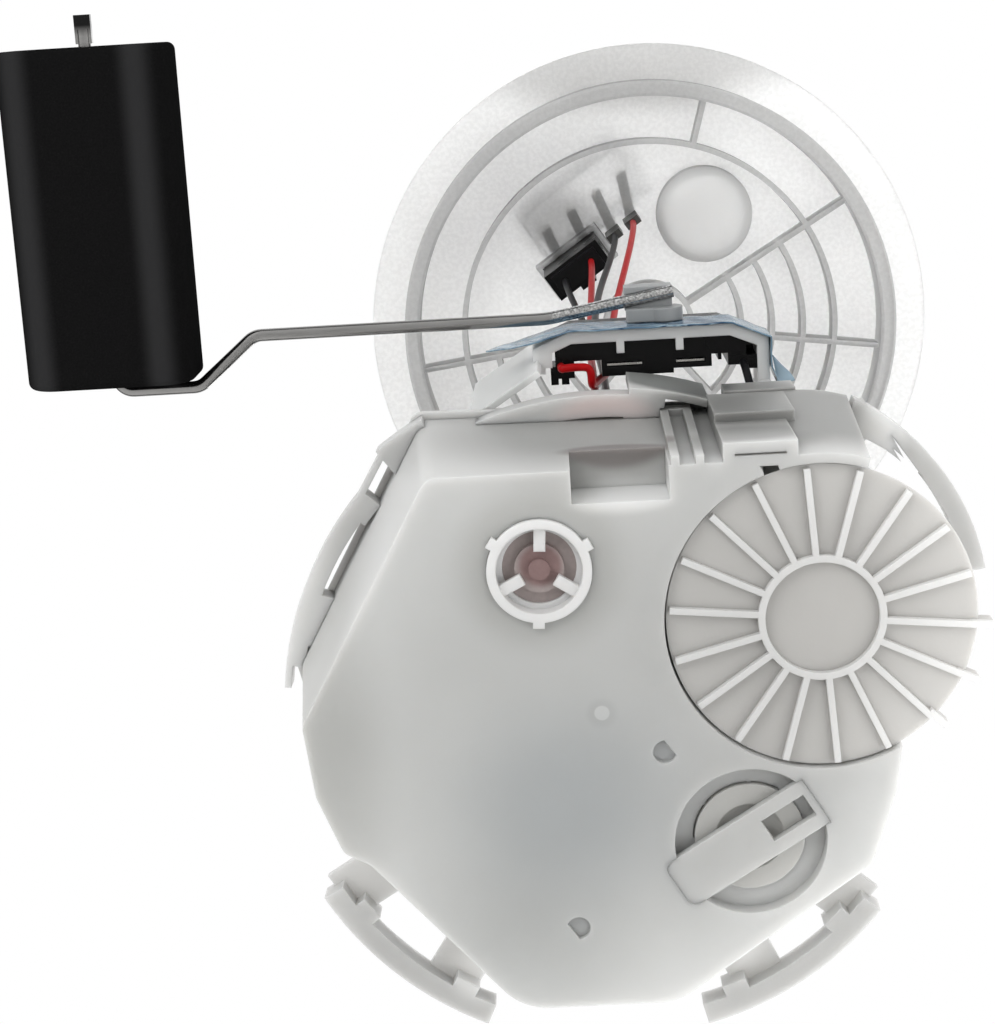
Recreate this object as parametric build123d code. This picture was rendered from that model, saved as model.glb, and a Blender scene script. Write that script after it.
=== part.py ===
from build123d import *
from math import atan2, cos, degrees, radians, sin
import os

# A fuel pump module, which hangs from its flange in the opening of a car's plastic fuel tank.
# Millimetres, +Z up, out of the tank. The origin is the centre of the flange's seat, the underside
# of its brim. The fuel level sender faces -Y and its float arm points along -X.
# The reservoir's parts are drawn about the reservoir's own axis, from its bottom up, and then hung
# below the flange.

# ---- whole module ----
module_height = 231.0          # seat to the reservoir's bottom, springs relaxed
reservoir_side = -18.4         # the reservoir's axis from the flange's, along X
reservoir_back = 50.0          # and along Y
fit_gap = 0.05                 # radial gap of pieces that locate in each other
running_gap = 0.08             # radial gap of a shaft in its bearing
air_gap = 0.3                  # gap of pieces that only pass each other

# ---- flange ----
brim_radius = 75.6
brim_thickness = 2.5
skirt_radius = 66.25           # enters the tank's opening
skirt_wall = 4.0
skirt_depth = 12.0
rib_width = 1.4
rib_depth = 8.0
wide_ring_radius = 50.2
first_arc_radius = 25.0        # three concentric arcs stiffen the plain side of the flange
arc_step = 8.35
arc_count = 3
arc_start = -30.5
arc_end = 172.5
hub_radius = 12.5
main_rib_angles = (-30.5, 7.5, 50.0, 90.0, 131.0, 172.5)
short_rib_angle = -74.1        # a rib from the wide ring to the skirt only
valve_x = 16.2                 # roll-over valve
valve_y = -29.7
valve_radius = 12.8
valve_height = 11.0
vent_nipple_radius = 3.0
vent_nipple_length = 12.0

# ---- outlet ----
outlet_x = 13.6
outlet_y = 33.4
pipe_radius = 3.95             # 7.9 mm quick connector spigot
pipe_bore = 2.6
pipe_bead = 5.0
elbow_height = 13.0            # spigot's axis above the flange's top face
elbow_radius = 6.0
spigot_length = 34.0
hose_spigot_length = 20.0

# ---- electrical connector ----
socket_x = -16.0
socket_y = -34.0
socket_angle = -34.0
socket_length = 34.0
socket_width = 17.0
socket_height = 17.0
socket_wall = 1.8
header_x = -18.7
header_y = -19.0
plug_length = 16.6
plug_width = 7.6
plug_height = 26.0
header_wall = 1.3
header_depth = 7.0
blade_width = 2.8
blade_thickness = 0.8
blade_height = 11.0
pump_blade_offset = 4.2        # each side of the header's middle
sender_blade_x = -5.9
sender_blade_y = -27.8
sender_blade_offset = 3.0

# ---- guide rods and springs ----
rod_radius = 3.0
rod_left_x = -32.0             # from the reservoir's axis
rod_left_y = -19.0
rod_right_x = 45.0
rod_right_y = 4.5
rod_boss_radius = 5.6
rod_boss_depth = 14.0
rod_socket_depth = 13.0
rod_end_height = 60.0          # the rods' lower ends above the reservoir's bottom
sleeve_top = 95.0
sleeve_collar = 6.0
sleeve_wall = 1.3
clip_radius = 4.1
clip_thickness = 1.2
spring_radius = 4.9
spring_wire = 0.6
spring_turns = 13

# ---- reservoir cup ----
cup_height = 40.0
cup_wall = 2.0
cup_floor = 2.0
cup_flare = 2.2                # how far the wall leans out over its height
corner_radius = 3.0
low_corner_radius = 11.0
side_lean = 2.0                # the left wall leans out this much more than the others
cup_front = -58.5              # Y of the front wall's bottom edge
low_corner_left = (-19.5, 42.0)    # the two well rounded corners at the back
low_corner_right = (9.0, 42.0)
side_front = (-31.0, cup_front)    # the left wall's two corners
side_back = (-56.0, -14.5)
cup_corners = (
    side_front,
    side_back,
    (-54.5, -1.0),
    (-50.2, 10.0),
    (-45.6, 12.4),
    low_corner_left,
    low_corner_right,
    (45.0, 17.0),
    (49.7, 3.0),
    (51.0, -6.0),
    (37.4, -29.6),
    (27.0, cup_front),
)
drain_radius = 2.15            # blind locating sockets in the floor
drain_deep = 1.2
drain_flat = 1.2               # distance of a drain hole's flat from its middle
drain_one_x = 8.6
drain_one_y = -6.3
drain_one_angle = -35.0
drain_two_x = -8.5
drain_two_y = 26.6
drain_two_angle = 145.0
window_left = -5.7             # recess in the front wall
window_right = 11.5
window_height = 13.0
window_depth = 6.0
hook_left = 11.9
hook_right = 17.7
hook_bar = 1.5
hook_drop = 2.0                # the loop's top below the cup's rim
hook_reach = 1.6
block_left = 21.0
block_right = 34.0
block_reach = 5.0
block_setback = 1.6
block_step = 20.0
shroud_wall = 1.8              # leaning wall in front of the filter
shroud_start = -104.0
shroud_end = -74.0

# ---- reservoir cover and rim ----
cover_thickness = 2.0
cover_overhang = 1.3
rim_radius = 67.2
rim_width = 4.3
rim_height = 5.5
bridge_width = 10.5
bridge_depth = 28.0            # a bridge reaches this far in from the rim, under the cover
right_rim_radius = 65.4        # the arc at the back right
front_rim_radius = 65.6        # the arc in front, below the sender
guide_wall = 1.3               # a curved wall on it, in front of the leads
guide_start = -84.5
guide_end = -71.5
guide_rise = 13.0
bridge_thickness = 1.6
tooth_width = 5.0
tooth_reach = 2.2
side_rim_radius = 65.1         # the rim's left arc has its own centre
side_rim_width = 3.7
side_rim_x = 1.6
side_rim_y = -4.6
strap_rim_width = 1.3
lug_radius = 70.9
lug_width = 12.0
filter_rim_radius = 47.1       # the arc round the filter
filter_rim_x = 26.0
filter_rim_y = -20.6
filter_rim_width = 3.9
filter_bar_length = 19.0       # a bar from the arc in to the filter
filter_bar_width = 5.6
filter_bar_angle = 61.5
filter_bar_place = -49.5       # angle of its middle on the arc
filter_bar_inset = 6.2
filter_slit_length = 10.0      # a wedge between the bar and the arc
shroud_high_radius = 34.0      # the shroud's radius at its top, round the filter
collar_height = 9.0
collar_wall = 1.6
collar_web_start = 100.0       # the plate runs on round the filter between these angles
collar_web_end = 290.0
foot_block_left = 24.5
foot_block_right = 38.0
foot_block_front = -64.0
foot_block_back = -58.8
foot_block_height = 6.0
foot_front = -63.4
foot_back = -60.2
lead_hole_left = -3.5
lead_hole_right = 6.0
lead_hole_front = -58.0
lead_hole_back = -50.0
tower_wall = 1.8
tower_height = 46.0

# ---- pump ----
pump_x = -11.0
pump_y = 4.0
pump_radius = 19.0
pump_low = 14.0
pump_high = 96.0
inlet_cap_height = 5.0
head_radius = 18.0
head_height = 9.0
nozzle_bore = 2.2
nozzle_height = 12.0
nozzle_side = 7.0
can_wall = 1.5
cap_plug = 6.0
port_offset = 10.0
socket_half = 4.5
shaft = 1.6
impeller_radius = 15.5
armature_radius = 11.0
armature_low = 32.0
armature_high = 76.0
commutator_radius = 7.0
tap_offset = 10.0
isolator_wall = 1.5
isolator_low = 45.0
strainer_radius = 17.5
strainer_low = 2.6

# ---- filter ----
filter_x = 37.4
filter_y = -29.6
filter_radius = 20.5
filter_wall = 1.5
filter_height = 62.0
cap_radius = 27.8              # the ribbed bottom panel
cap_height = 4.5
cap_taper = 0.8
panel_recess = 1.6             # the panel lies this far in from its ribs' edges
filter_rib_count = 18
filter_rib_width = 1.15
filter_rib_angle = 5.7
filter_hub_radius = 11.35
filter_hub_wall = 1.25
fin_angles = (5.5, 25.5, 44.5)
fin_reach = 2.4
bead_reach = 1.2
bead_height = 2.0
lid_thickness = 3.0
lid_spigot = 4.0
element_radius = 18.0
element_root = 14.5
element_bore = 8.0
element_pleats = 24
feed_x = 36.0
feed_y = -44.0
outlet_nipple_height = 9.0

# ---- inlet valve ----
inlet_x = -12.0
inlet_y = -41.0
cage_radius = 9.35
cage_bore = 7.65
cage_drop = 1.2
cage_top = 3.0
tab_width = 2.1
tab_reach = 3.4
tab_angle = 33.5
nub_reach = 1.0
nub_angle = 93.5
seat_radius = 6.6
seat_low = 2.2
tip_low = 0.4
boss_low = 1.5
post_thickness = 1.0
disc_radius = 7.2
disc_thickness = 0.9
boss_radius = 4.4
tip_radius = 1.9
valve_lift = 1.5

# ---- pressure regulator ----
regulator_x = 23.4
regulator_y = 11.5
pocket_radius = 13.75
pocket_depth = 3.4               # down to the ledge round the regulator
pocket_wall = 1.5
regulator_radius = 10.0
slit_deep = 1.6                # slits between the ledge and the regulator
slit_starts = (-180.0, -139.0, -87.0)
slit_ends = (-143.0, -91.0, -57.0)
regulator_face = 2.6
regulator_top = 23.0
regulator_neck = 4.0
regulator_neck_height = 5.0
seal_height = 2.0
seal_depth = 1.4
seal_low = 12.0
dimple_radius = 6.2            # a shallow dish in the regulator's face
dimple_depth = 1.5
strap_angle = -31.0
strap_length = 29.6
strap_width = 9.6
strap_thickness = 2.0
strap_slot_length = 9.0
strap_slot_width = 4.6
strap_slot_inset = 1.4         # from the strap's far end
strap_shift = -0.9             # the strap's middle from the regulator's, along the strap

# ---- jet pump ----
jet_x = -38.5
jet_y = -2.0
jet_radius = 3.2
jet_bore = 1.4
jet_height = 26.0
jet_foot = 7.0
jet_hose_radius = 2.8

# ---- level sender ----
holder_left = -11.6
holder_right = 34.6
holder_front = -74.8
holder_back = -58.8
holder_low = 54.0
holder_high = 64.5
holder_wall = 2.3
holder_chamfer_x = 7.1
holder_chamfer_y = 3.0
holder_left_depth = 8.0
holder_rib_width = 1.5
holder_rib_reach = 2.3
holder_rib_one = 5.6
holder_rib_two = 17.2
holder_rib_top = 56.5
shelf_right = -7.9             # a small shelf inside the holder's left wall
shelf_front = -71.0
shelf_back = -68.0
web_end_x = -24.0
web_end_y = -60.5
web_thickness = 1.3
web_top = 82.0
housing_back = -65.6
housing_low = 55.0
housing_high = 87.5
housing_wall = 1.8
housing_left = -7.3            # the moulding's left end, inside the holder
chamber_left = -0.5
chamber_right = 30.5
chamber_front = -71.5
chamber_back = -69.5
chamber_high = 85.0
gap_front = -68.9              # front of the open gaps in the moulding's back
left_gap_left = -3.6
left_gap_right = 1.8
right_gap_left = 23.4
right_gap_right = 26.6
right_gap_bar = 0.7            # a bar that splits the right gap's front
step_back = -66.5              # the back of the moulding's thinner stretches
step_left = 15.9
step_right = 29.4
finger_height = 8.0            # sprung fingers below the leads
finger_width = 1.5
finger_left_one = -8.3
finger_left_two = -6.2
finger_left_back = -64.4
latch_left = 30.2              # a latch in the holder's right wall
latch_front = -70.2
latch_back = -68.3
slot_front = -68.3             # slots for the contact strips
slot_back = -67.4
slot_deep = 2.5
slot_one_left = 2.8
slot_one_right = 9.8
slot_two_left = 16.4
slot_two_right = 22.0
strip_thickness = 0.4
card_thickness = 0.6
card_low = 66.0
card_high = 84.0
film_thickness = 0.3
film_low = 52.0
film_high = 63.5
film_left = -21.0
film_left_y = -70.6
film_bend_y = -66.0
film_right = 37.9
film_right_y = -58.5

# ---- float arm ----
pivot_x = 15.0
pivot_height = 60.0
hub_radius_arm = 3.4
hub_left = 7.2                 # the hub's flat arm, which backs the boss
hub_right = 16.2
hub_height = 5.0
hub_thickness = 2.6
hub_gap = 0.35
shaft_radius = 2.5
wire_radius = 1.25
wire_start_x = 16.6
wire_start_y = -81.1
wire_run_y = -76.9
bend_one_x = -8.5
bend_two_x = -66.8
bend_three_x = -78.3
wire_float_y = -67.2
float_axis_x = -94.9
wire_tip_y = -141.0
wire_bend_radius = 4.0
tip_length = 5.5
tip_width = 3.2
tip_thickness = 1.3
boss_left = 7.0                # the boss that carries the wire in a groove below it
boss_right = 16.4
boss_front = -82.2
boss_height = 5.0
wiper_length = 19.0
wiper_inset = 0.4
wiper_ring = 0.5
wiper_width = 4.0
wiper_thickness = 0.5
wiper_angle = -16.0            # the wiper stands upright at the middle of the arm's travel

# ---- float ----
float_near = -69.3
float_far = -134.9
float_width = 33.4
float_thickness = 21.0
float_round = 6.5
float_edge = 1.5

# ---- leads and hoses ----
lead_radius = 0.95
spigot_barb = 0.5
hose_wall = 1.3
hose_cuff = 11.0
hose_waves = 9
wave_height = 1.3
clamp_width = 5.0
clamp_thickness = 0.8
lug_wall = 0.7
lug_low = 14.5
lug_top = 1.5
lead_hole_y = -55.5
lead_red_x = 0.4
lead_red_y = -62.0
lead_black_x = 2.8
lead_black_y = -59.6
sender_top_x = 1.5
sender_top_y = -68.6
housing_left_x = -6.2
ground_x = 29.6
ground_y = -66.8


# ---------------------------------------------------------------- helpers

def disc(radius, low, high, x=0, y=0):
    return Pos(x, y, (low + high) / 2) * Cylinder(radius, high - low)


def ring(outer, inner, low, high, x=0, y=0):
    return disc(outer, low, high, x, y) - disc(inner, low, high, x, y)


def block(left, right, front, back, low, high):
    middle = Pos((left + right) / 2, (front + back) / 2, (low + high) / 2)
    return middle * Box(right - left, back - front, high - low)


def turned_block(x, y, angle, length, width, low, high):
    """A box of the given length and width about x, y, turned about +Z."""
    return Pos(x, y, (low + high) / 2) * Rot(0, 0, angle) * Box(length, width, high - low)


def spoke(inner, outer, width, angle, low, high, x=0, y=0):
    """A radial bar between two radii."""
    bar = block(inner, outer, -width / 2, width / 2, low, high)
    return Pos(x, y, 0) * Rot(0, 0, angle) * bar


def turned(points, x=0, y=0):
    """A body of revolution about a vertical axis, from its (radius, height) outline."""
    outline = Polyline(*[(radius, 0, height) for radius, height in points], close=True)
    return Pos(x, y, 0) * revolve(make_face(outline), Axis.Z)


def prism(points, low, high):
    """An upright prism on a closed outline of (x, y) points."""
    face = make_face(Polyline(*points, close=True))
    return Pos(0, 0, low) * extrude(face, amount=high - low, dir=(0, 0, 1))


def arc_band(outer, inner, start, end, low, high, x=0, y=0):
    """A flat band bent round x, y between two radii and two angles."""
    outside = CenterArc((0, 0), outer, start, end - start)
    inside = CenterArc((0, 0), inner, start, end - start)
    ends = [Line(outside @ 0, inside @ 0), Line(outside @ 1, inside @ 1)]
    face = make_face([outside, inside, *ends])
    return Pos(x, y, low) * extrude(face, amount=high - low, dir=(0, 0, 1))


def around(angle, radius, x=0, y=0):
    return x + radius * cos(radians(angle)), y + radius * sin(radians(angle))


def lead(points, radius, bend):
    """A round lead along straight runs joined by arcs."""
    route = FilletPolyline(*points, radius=bend)
    section = Plane(origin=route @ 0, z_dir=route % 0) * Circle(radius)
    return sweep(section, path=route)


def hung(shape):
    """Moves a shape from the reservoir's own frame to its place under the flange."""
    return Pos(reservoir_side, reservoir_back, -module_height) * shape


def from_flange(x, y, z):
    """A point of the flange's frame in the reservoir's own frame."""
    return x - reservoir_side, y - reservoir_back, z + module_height


# ---------------------------------------------------------------- flange

def rod_places():
    """The two guide rods in the flange's frame."""
    left = (rod_left_x + reservoir_side, rod_left_y + reservoir_back)
    right = (rod_right_x + reservoir_side, rod_right_y + reservoir_back)
    return left, right


def beside(x, y, distance):
    """A point the given distance along the connector's long side from x, y."""
    return around(socket_angle, distance, x, y)


def pump_blades():
    """Two terminals that run from the plug header, through the flange, up into the socket."""
    blades = []
    for side in (-1, 1):
        low_x, low_y = beside(header_x, header_y, side * pump_blade_offset)
        top_x, top_y = beside(socket_x, socket_y, (side - 2) * pump_blade_offset)
        size = (blade_width, blade_thickness)
        lower = turned_block(low_x, low_y, socket_angle, *size, -blade_height, brim_thickness / 2)
        upper = turned_block(top_x, top_y, socket_angle, *size, brim_thickness / 2,
                             brim_thickness + blade_height)
        link = Polyline((low_x, low_y), (top_x, top_y))
        bar = trace(link, line_width=blade_width)
        middle = Pos(0, 0, (brim_thickness - blade_thickness) / 2) * extrude(bar, amount=blade_thickness)
        blades.append(lower + upper + middle)
    return blades


def sender_blades():
    """Two terminals for the level sender's leads."""
    blades = []
    for side in (-1, 1):
        low_x, low_y = beside(sender_blade_x, sender_blade_y, side * sender_blade_offset)
        top_x, top_y = beside(socket_x, socket_y, (side + 2) * pump_blade_offset)
        size = (blade_width, blade_thickness)
        lower = turned_block(low_x, low_y, socket_angle, *size, -blade_height, brim_thickness / 2)
        upper = turned_block(top_x, top_y, socket_angle, *size, brim_thickness / 2,
                             brim_thickness + blade_height)
        link = Polyline((low_x, low_y), (top_x, top_y))
        bar = trace(link, line_width=blade_width)
        middle = Pos(0, 0, (brim_thickness - blade_thickness) / 2) * extrude(bar, amount=blade_thickness)
        blades.append(lower + upper + middle)
    return blades


def flange_ribs():
    ribs = ring(wide_ring_radius + rib_width / 2, wide_ring_radius - rib_width / 2, -rib_depth, 0)
    ribs += ring(hub_radius, hub_radius - rib_width, -rib_depth, 0)
    for number in range(arc_count):
        radius = first_arc_radius + number * arc_step
        ribs += arc_band(radius + rib_width / 2, radius - rib_width / 2, arc_start, arc_end, -rib_depth, 0)
    inside_skirt = skirt_radius - skirt_wall / 2
    for angle in main_rib_angles:
        ribs += spoke(hub_radius - rib_width / 2, inside_skirt, rib_width, angle, -rib_depth, 0)
    ribs += spoke(wide_ring_radius, inside_skirt, rib_width, short_rib_angle, -rib_depth, 0)
    return ribs


def outlet_body():
    """The outlet's riser and its horizontal spigot on top, and the hose spigot below."""
    axis_height = brim_thickness + elbow_height
    riser = disc(elbow_radius, 0, axis_height + elbow_radius, outlet_x, outlet_y)
    spigot = turned([(0, 0), (elbow_radius - 1, 0), (elbow_radius - 1, spigot_length * 0.35),
                     (pipe_radius, spigot_length * 0.35), (pipe_radius, spigot_length * 0.72),
                     (pipe_bead, spigot_length * 0.76), (pipe_bead, spigot_length * 0.8),
                     (pipe_radius, spigot_length * 0.84), (pipe_radius, spigot_length),
                     (0, spigot_length)])
    spigot = Pos(outlet_x, outlet_y, axis_height) * Rot(-90, 0, 0) * spigot
    lower = turned([(0, 0), (pipe_radius, 0), (pipe_radius, -hose_spigot_length * 0.5),
                    (pipe_radius + spigot_barb, -hose_spigot_length * 0.5),
                    (pipe_radius - 0.3, -hose_spigot_length), (0, -hose_spigot_length)],
                   outlet_x, outlet_y)
    return riser + spigot + lower


def outlet_bore():
    axis_height = brim_thickness + elbow_height
    upright = disc(pipe_bore, -hose_spigot_length, axis_height, outlet_x, outlet_y)
    level = Pos(outlet_x, outlet_y, axis_height) * Rot(-90, 0, 0) * disc(pipe_bore, 0, spigot_length)
    return upright + level + Pos(outlet_x, outlet_y, axis_height) * Sphere(pipe_bore)


def flange_cap():
    plate = disc(brim_radius, 0, brim_thickness)
    plate = chamfer(plate.edges().group_by(Axis.Z)[-1], brim_thickness / 4)
    skirt = ring(skirt_radius, skirt_radius - skirt_wall, -skirt_depth, 0)
    skirt = chamfer(skirt.edges().group_by(Axis.Z)[0], skirt_wall / 6)
    cap = plate + skirt + flange_ribs()
    for x, y in rod_places():
        cap += disc(rod_boss_radius, -rod_boss_depth, 0, x, y)
    size = (socket_length, socket_width)
    inner = (socket_length - 2 * socket_wall, socket_width - 2 * socket_wall)
    cap += turned_block(socket_x, socket_y, socket_angle, *size, 0, brim_thickness + socket_height)
    header = (plug_length + 2 * (header_wall + air_gap), plug_width + 2 * (header_wall + air_gap))
    cap += turned_block(header_x, header_y, socket_angle, *header, -header_depth, 0)
    cap += disc(vent_nipple_radius, 0, brim_thickness + vent_nipple_length, valve_x, valve_y)
    cap += outlet_body()
    cap -= turned_block(socket_x, socket_y, socket_angle, *inner, brim_thickness,
                        brim_thickness + socket_height)
    room = (plug_length + 2 * air_gap, plug_width + 2 * air_gap)
    cap -= turned_block(header_x, header_y, socket_angle, *room, -header_depth, 0)
    cap -= disc(vent_nipple_radius / 2, 0, brim_thickness + vent_nipple_length, valve_x, valve_y)
    # the valve's seat is kept clear of ribs
    cap -= disc(valve_radius + air_gap, -skirt_depth, 0, valve_x, valve_y)
    cap -= outlet_bore()
    for x, y in rod_places():
        cap -= disc(rod_radius + fit_gap, -rod_boss_depth, rod_socket_depth - rod_boss_depth, x, y)
    for blade in pump_blades() + sender_blades():
        cap -= blade
    return cap


def rollover_valve():
    """A domed chamber welded under the flange, open to the vent nipple."""
    straight = valve_height * 0.55
    squash = (valve_height - straight) / valve_radius
    dome = Pos(0, 0, -straight) * scale(Sphere(valve_radius), by=(1, 1, squash))
    body = disc(valve_radius, -straight, 0) + dome
    body -= disc(valve_radius * 0.8, -straight, 0)
    return Pos(valve_x, valve_y, 0) * body


def pump_plug():
    """The two-way plug with its latch, seated in the header."""
    top = -blade_height - 1.0 + blade_height
    body = turned_block(0, 0, 0, plug_length, plug_width, -plug_height, top)
    latch = block(-2.2, 2.2, plug_width / 2, plug_width / 2 + 1.6, -plug_height + 3, -header_depth - 1)
    step = turned_block(0, 0, 0, plug_length - 3, plug_width - 2, -plug_height - 2, -plug_height)
    plug = body + latch + step
    for side in (-1, 1):
        slot = turned_block(side * pump_blade_offset, 0, 0, blade_width + air_gap,
                            blade_thickness + air_gap, -blade_height - 1, top)
        plug -= slot
    return Pos(header_x, header_y, 0) * Rot(0, 0, socket_angle) * plug


def guide_rod(x, y):
    top = rod_socket_depth - rod_boss_depth - 0.2
    low = rod_end_height - module_height
    shape = disc(rod_radius, low, top, x, y)
    groove_high = clip_height() - module_height + clip_thickness
    groove = ring(rod_radius + 1, rod_radius - 0.4, groove_high - clip_thickness, groove_high, x, y)
    return chamfer(shape.edges().group_by(Axis.Z)[0], rod_radius / 4) - groove


def clip_height():
    """The retaining clips lie just under the sleeves' collars."""
    return sleeve_top - sleeve_collar - clip_thickness - fit_gap


def rod_clips():
    clips = []
    low = clip_height() - module_height
    for x, y in rod_places():
        clip = ring(clip_radius, rod_radius - 0.35, low + fit_gap, low + clip_thickness - fit_gap, x, y)
        clips.append(clip - spoke(0, clip_radius + 1, rod_radius, 90, low, low + clip_thickness, x, y))
    return Compound(clips)


def spring(x, y):
    """A coil spring between the sleeve's end and the flange's boss."""
    low = sleeve_top - module_height + spring_wire
    high = -rod_boss_depth - spring_wire
    path = Helix(pitch=(high - low) / spring_turns, height=high - low, radius=spring_radius)
    section = Plane(origin=path @ 0, z_dir=path % 0) * Circle(spring_wire)
    return Pos(x, y, low) * sweep(section, path=path, is_frenet=True)


# ---------------------------------------------------------------- reservoir cup

def nearest(face, x, y):
    """The corner of a face that is nearest to x, y."""
    return min(face.vertices(), key=lambda corner: (corner.X - x) ** 2 + (corner.Y - y) ** 2)


def cup_outline(grow, side=0.0):
    """The cup's outline at its bottom, moved out by grow, and the left wall by side more."""
    wall = Vector(side_back[0] - side_front[0], side_back[1] - side_front[1], 0).normalized()
    step = wall.rotate(Axis.Z, 90) * side
    corners = [(x + step.X, y + step.Y) if (x, y) in (side_front, side_back) else (x, y)
               for x, y in cup_corners]
    face = make_face(Polyline(*corners, close=True))
    if grow:
        face = offset(face, amount=grow, kind=Kind.INTERSECTION)
    wide = (low_corner_left, low_corner_right)
    wide_ones = [nearest(face, x, y) for x, y in wide]
    face = fillet([corner for corner in face.vertices() if corner not in wide_ones], corner_radius)
    return fillet([nearest(face, x, y) for x, y in wide], low_corner_radius)


def leaning(grow, low, high):
    """The space inside the cup's outline moved out by grow, between two heights."""
    lean = cup_flare / cup_height
    side = side_lean / cup_height
    return loft([Pos(0, 0, low) * cup_outline(grow + lean * low, side * low),
                 Pos(0, 0, high) * cup_outline(grow + lean * high, side * high)], ruled=True)


def bay_radius():
    return cap_radius + 2 * fit_gap


def drain(x, y, angle):
    hole = disc(drain_radius, 0, drain_deep)
    hole -= block(drain_flat, drain_radius + 1, -drain_radius, drain_radius, 0, drain_deep)
    return Pos(x, y, 0) * Rot(0, 0, angle) * hole


def front_at(height):
    """The Y of the cup's leaning front wall at a height."""
    return cup_front - cup_flare * height / cup_height


def front_hook():
    """A loop on the front wall."""
    foot = front_at(0) + cup_wall / 2
    top = cup_height - hook_drop
    outer = [(foot, 0), (front_at(0) - hook_reach, 0), (front_at(top) - hook_reach, top), (foot, top)]
    side = make_face(Polyline(*[(0, y, z) for y, z in outer], close=True))
    solid = Pos(hook_left, 0, 0) * extrude(side, amount=hook_right - hook_left, dir=(1, 0, 0))
    reach = front_at(top) - 2 * hook_reach
    return solid - block(hook_left + hook_bar, hook_right - hook_bar, reach, front_at(0), -1,
                         top - 2 * hook_bar)


def front_blocks():
    """A stepped hollow block on the front wall, under the sender holder's foot."""
    face = front_at(0) - block_reach
    lower = block(block_left, block_right, face + block_setback, front_at(0) + 1, 0, block_step)
    upper = block(block_left, block_right + block_setback, face, front_at(0) + 1, block_step, cup_height)
    room = block(block_left + cup_wall, block_right - cup_wall, face + block_setback + cup_wall,
                 front_at(0) - 1, 0, cup_height - cup_wall)
    return lower + upper - room


def filter_shroud():
    """A wall that leans out in front of the filter, closed at its far end."""
    low = bay_radius() + shroud_wall
    high = shroud_high_radius - fit_gap
    outer = turned([(0, 0), (low, 0), (high, cup_height), (0, cup_height)])
    inner = turned([(0, 0), (low - shroud_wall, 0), (high - shroud_wall, cup_height), (0, cup_height)])
    sector = arc_band(high + 1, filter_radius, shroud_start, shroud_end, 0, cup_height)
    wall = (outer - inner) & sector
    end = (outer & spoke(bay_radius(), high, shroud_wall, shroud_end, 0, cup_height))
    return Pos(filter_x, filter_y, 0) * (wall + end)


def reservoir_cup():
    bay = disc(bay_radius(), 0, cup_height, filter_x, filter_y)
    cup = leaning(0, 0, cup_height)
    room = leaning(-cup_wall, cup_floor, cup_height)
    room -= disc(bay_radius() + cup_wall, 0, cup_height, filter_x, filter_y)
    cup -= room
    cup += front_blocks() + front_hook()
    cup -= bay
    cup += filter_shroud()
    # recess in the front wall, closed off inside the cup
    inner = window_depth + cup_wall
    cup += block(window_left - cup_wall, window_right + cup_wall, front_at(0) + 1,
                 front_at(0) + inner, 0, window_height + cup_wall)
    cup -= block(window_left, window_right, front_at(0) - 9, front_at(0) + window_depth, -1, window_height)
    # regulator pocket and its socket
    regulator = (regulator_x, regulator_y)
    socket = regulator_radius + fit_gap + pocket_wall
    cup += disc(pocket_radius + pocket_wall, 0, pocket_depth + cup_floor, *regulator)
    cup += disc(socket, pocket_depth, regulator_top + pocket_wall, *regulator)
    cup -= disc(pocket_radius, 0, pocket_depth, *regulator)
    cup -= disc(regulator_radius + fit_gap, pocket_depth, regulator_top, *regulator)
    cup -= disc(regulator_neck + fit_gap, regulator_top, regulator_top + pocket_wall, *regulator)
    cup -= disc(cage_radius, 0, cup_floor, inlet_x, inlet_y)
    for start, end in zip(slit_starts, slit_ends):
        cup -= arc_band(regulator_radius + air_gap, regulator_radius - 1, start, end, pocket_depth,
                        pocket_depth + slit_deep, *regulator)
    cup -= strap_outline(fit_gap, 0, strap_thickness)
    cup -= drain(drain_one_x, drain_one_y, drain_one_angle)
    cup -= drain(drain_two_x, drain_two_y, drain_two_angle)
    return cup


# ---------------------------------------------------------------- reservoir cover and rim

def sleeve_bore():
    return clip_radius + air_gap


def tower_bore():
    return pump_radius + isolator_wall + 2 * fit_gap


def collar_top():
    return cup_height + cover_thickness + collar_height


def tower_top():
    return cup_height + cover_thickness + tower_height


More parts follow.
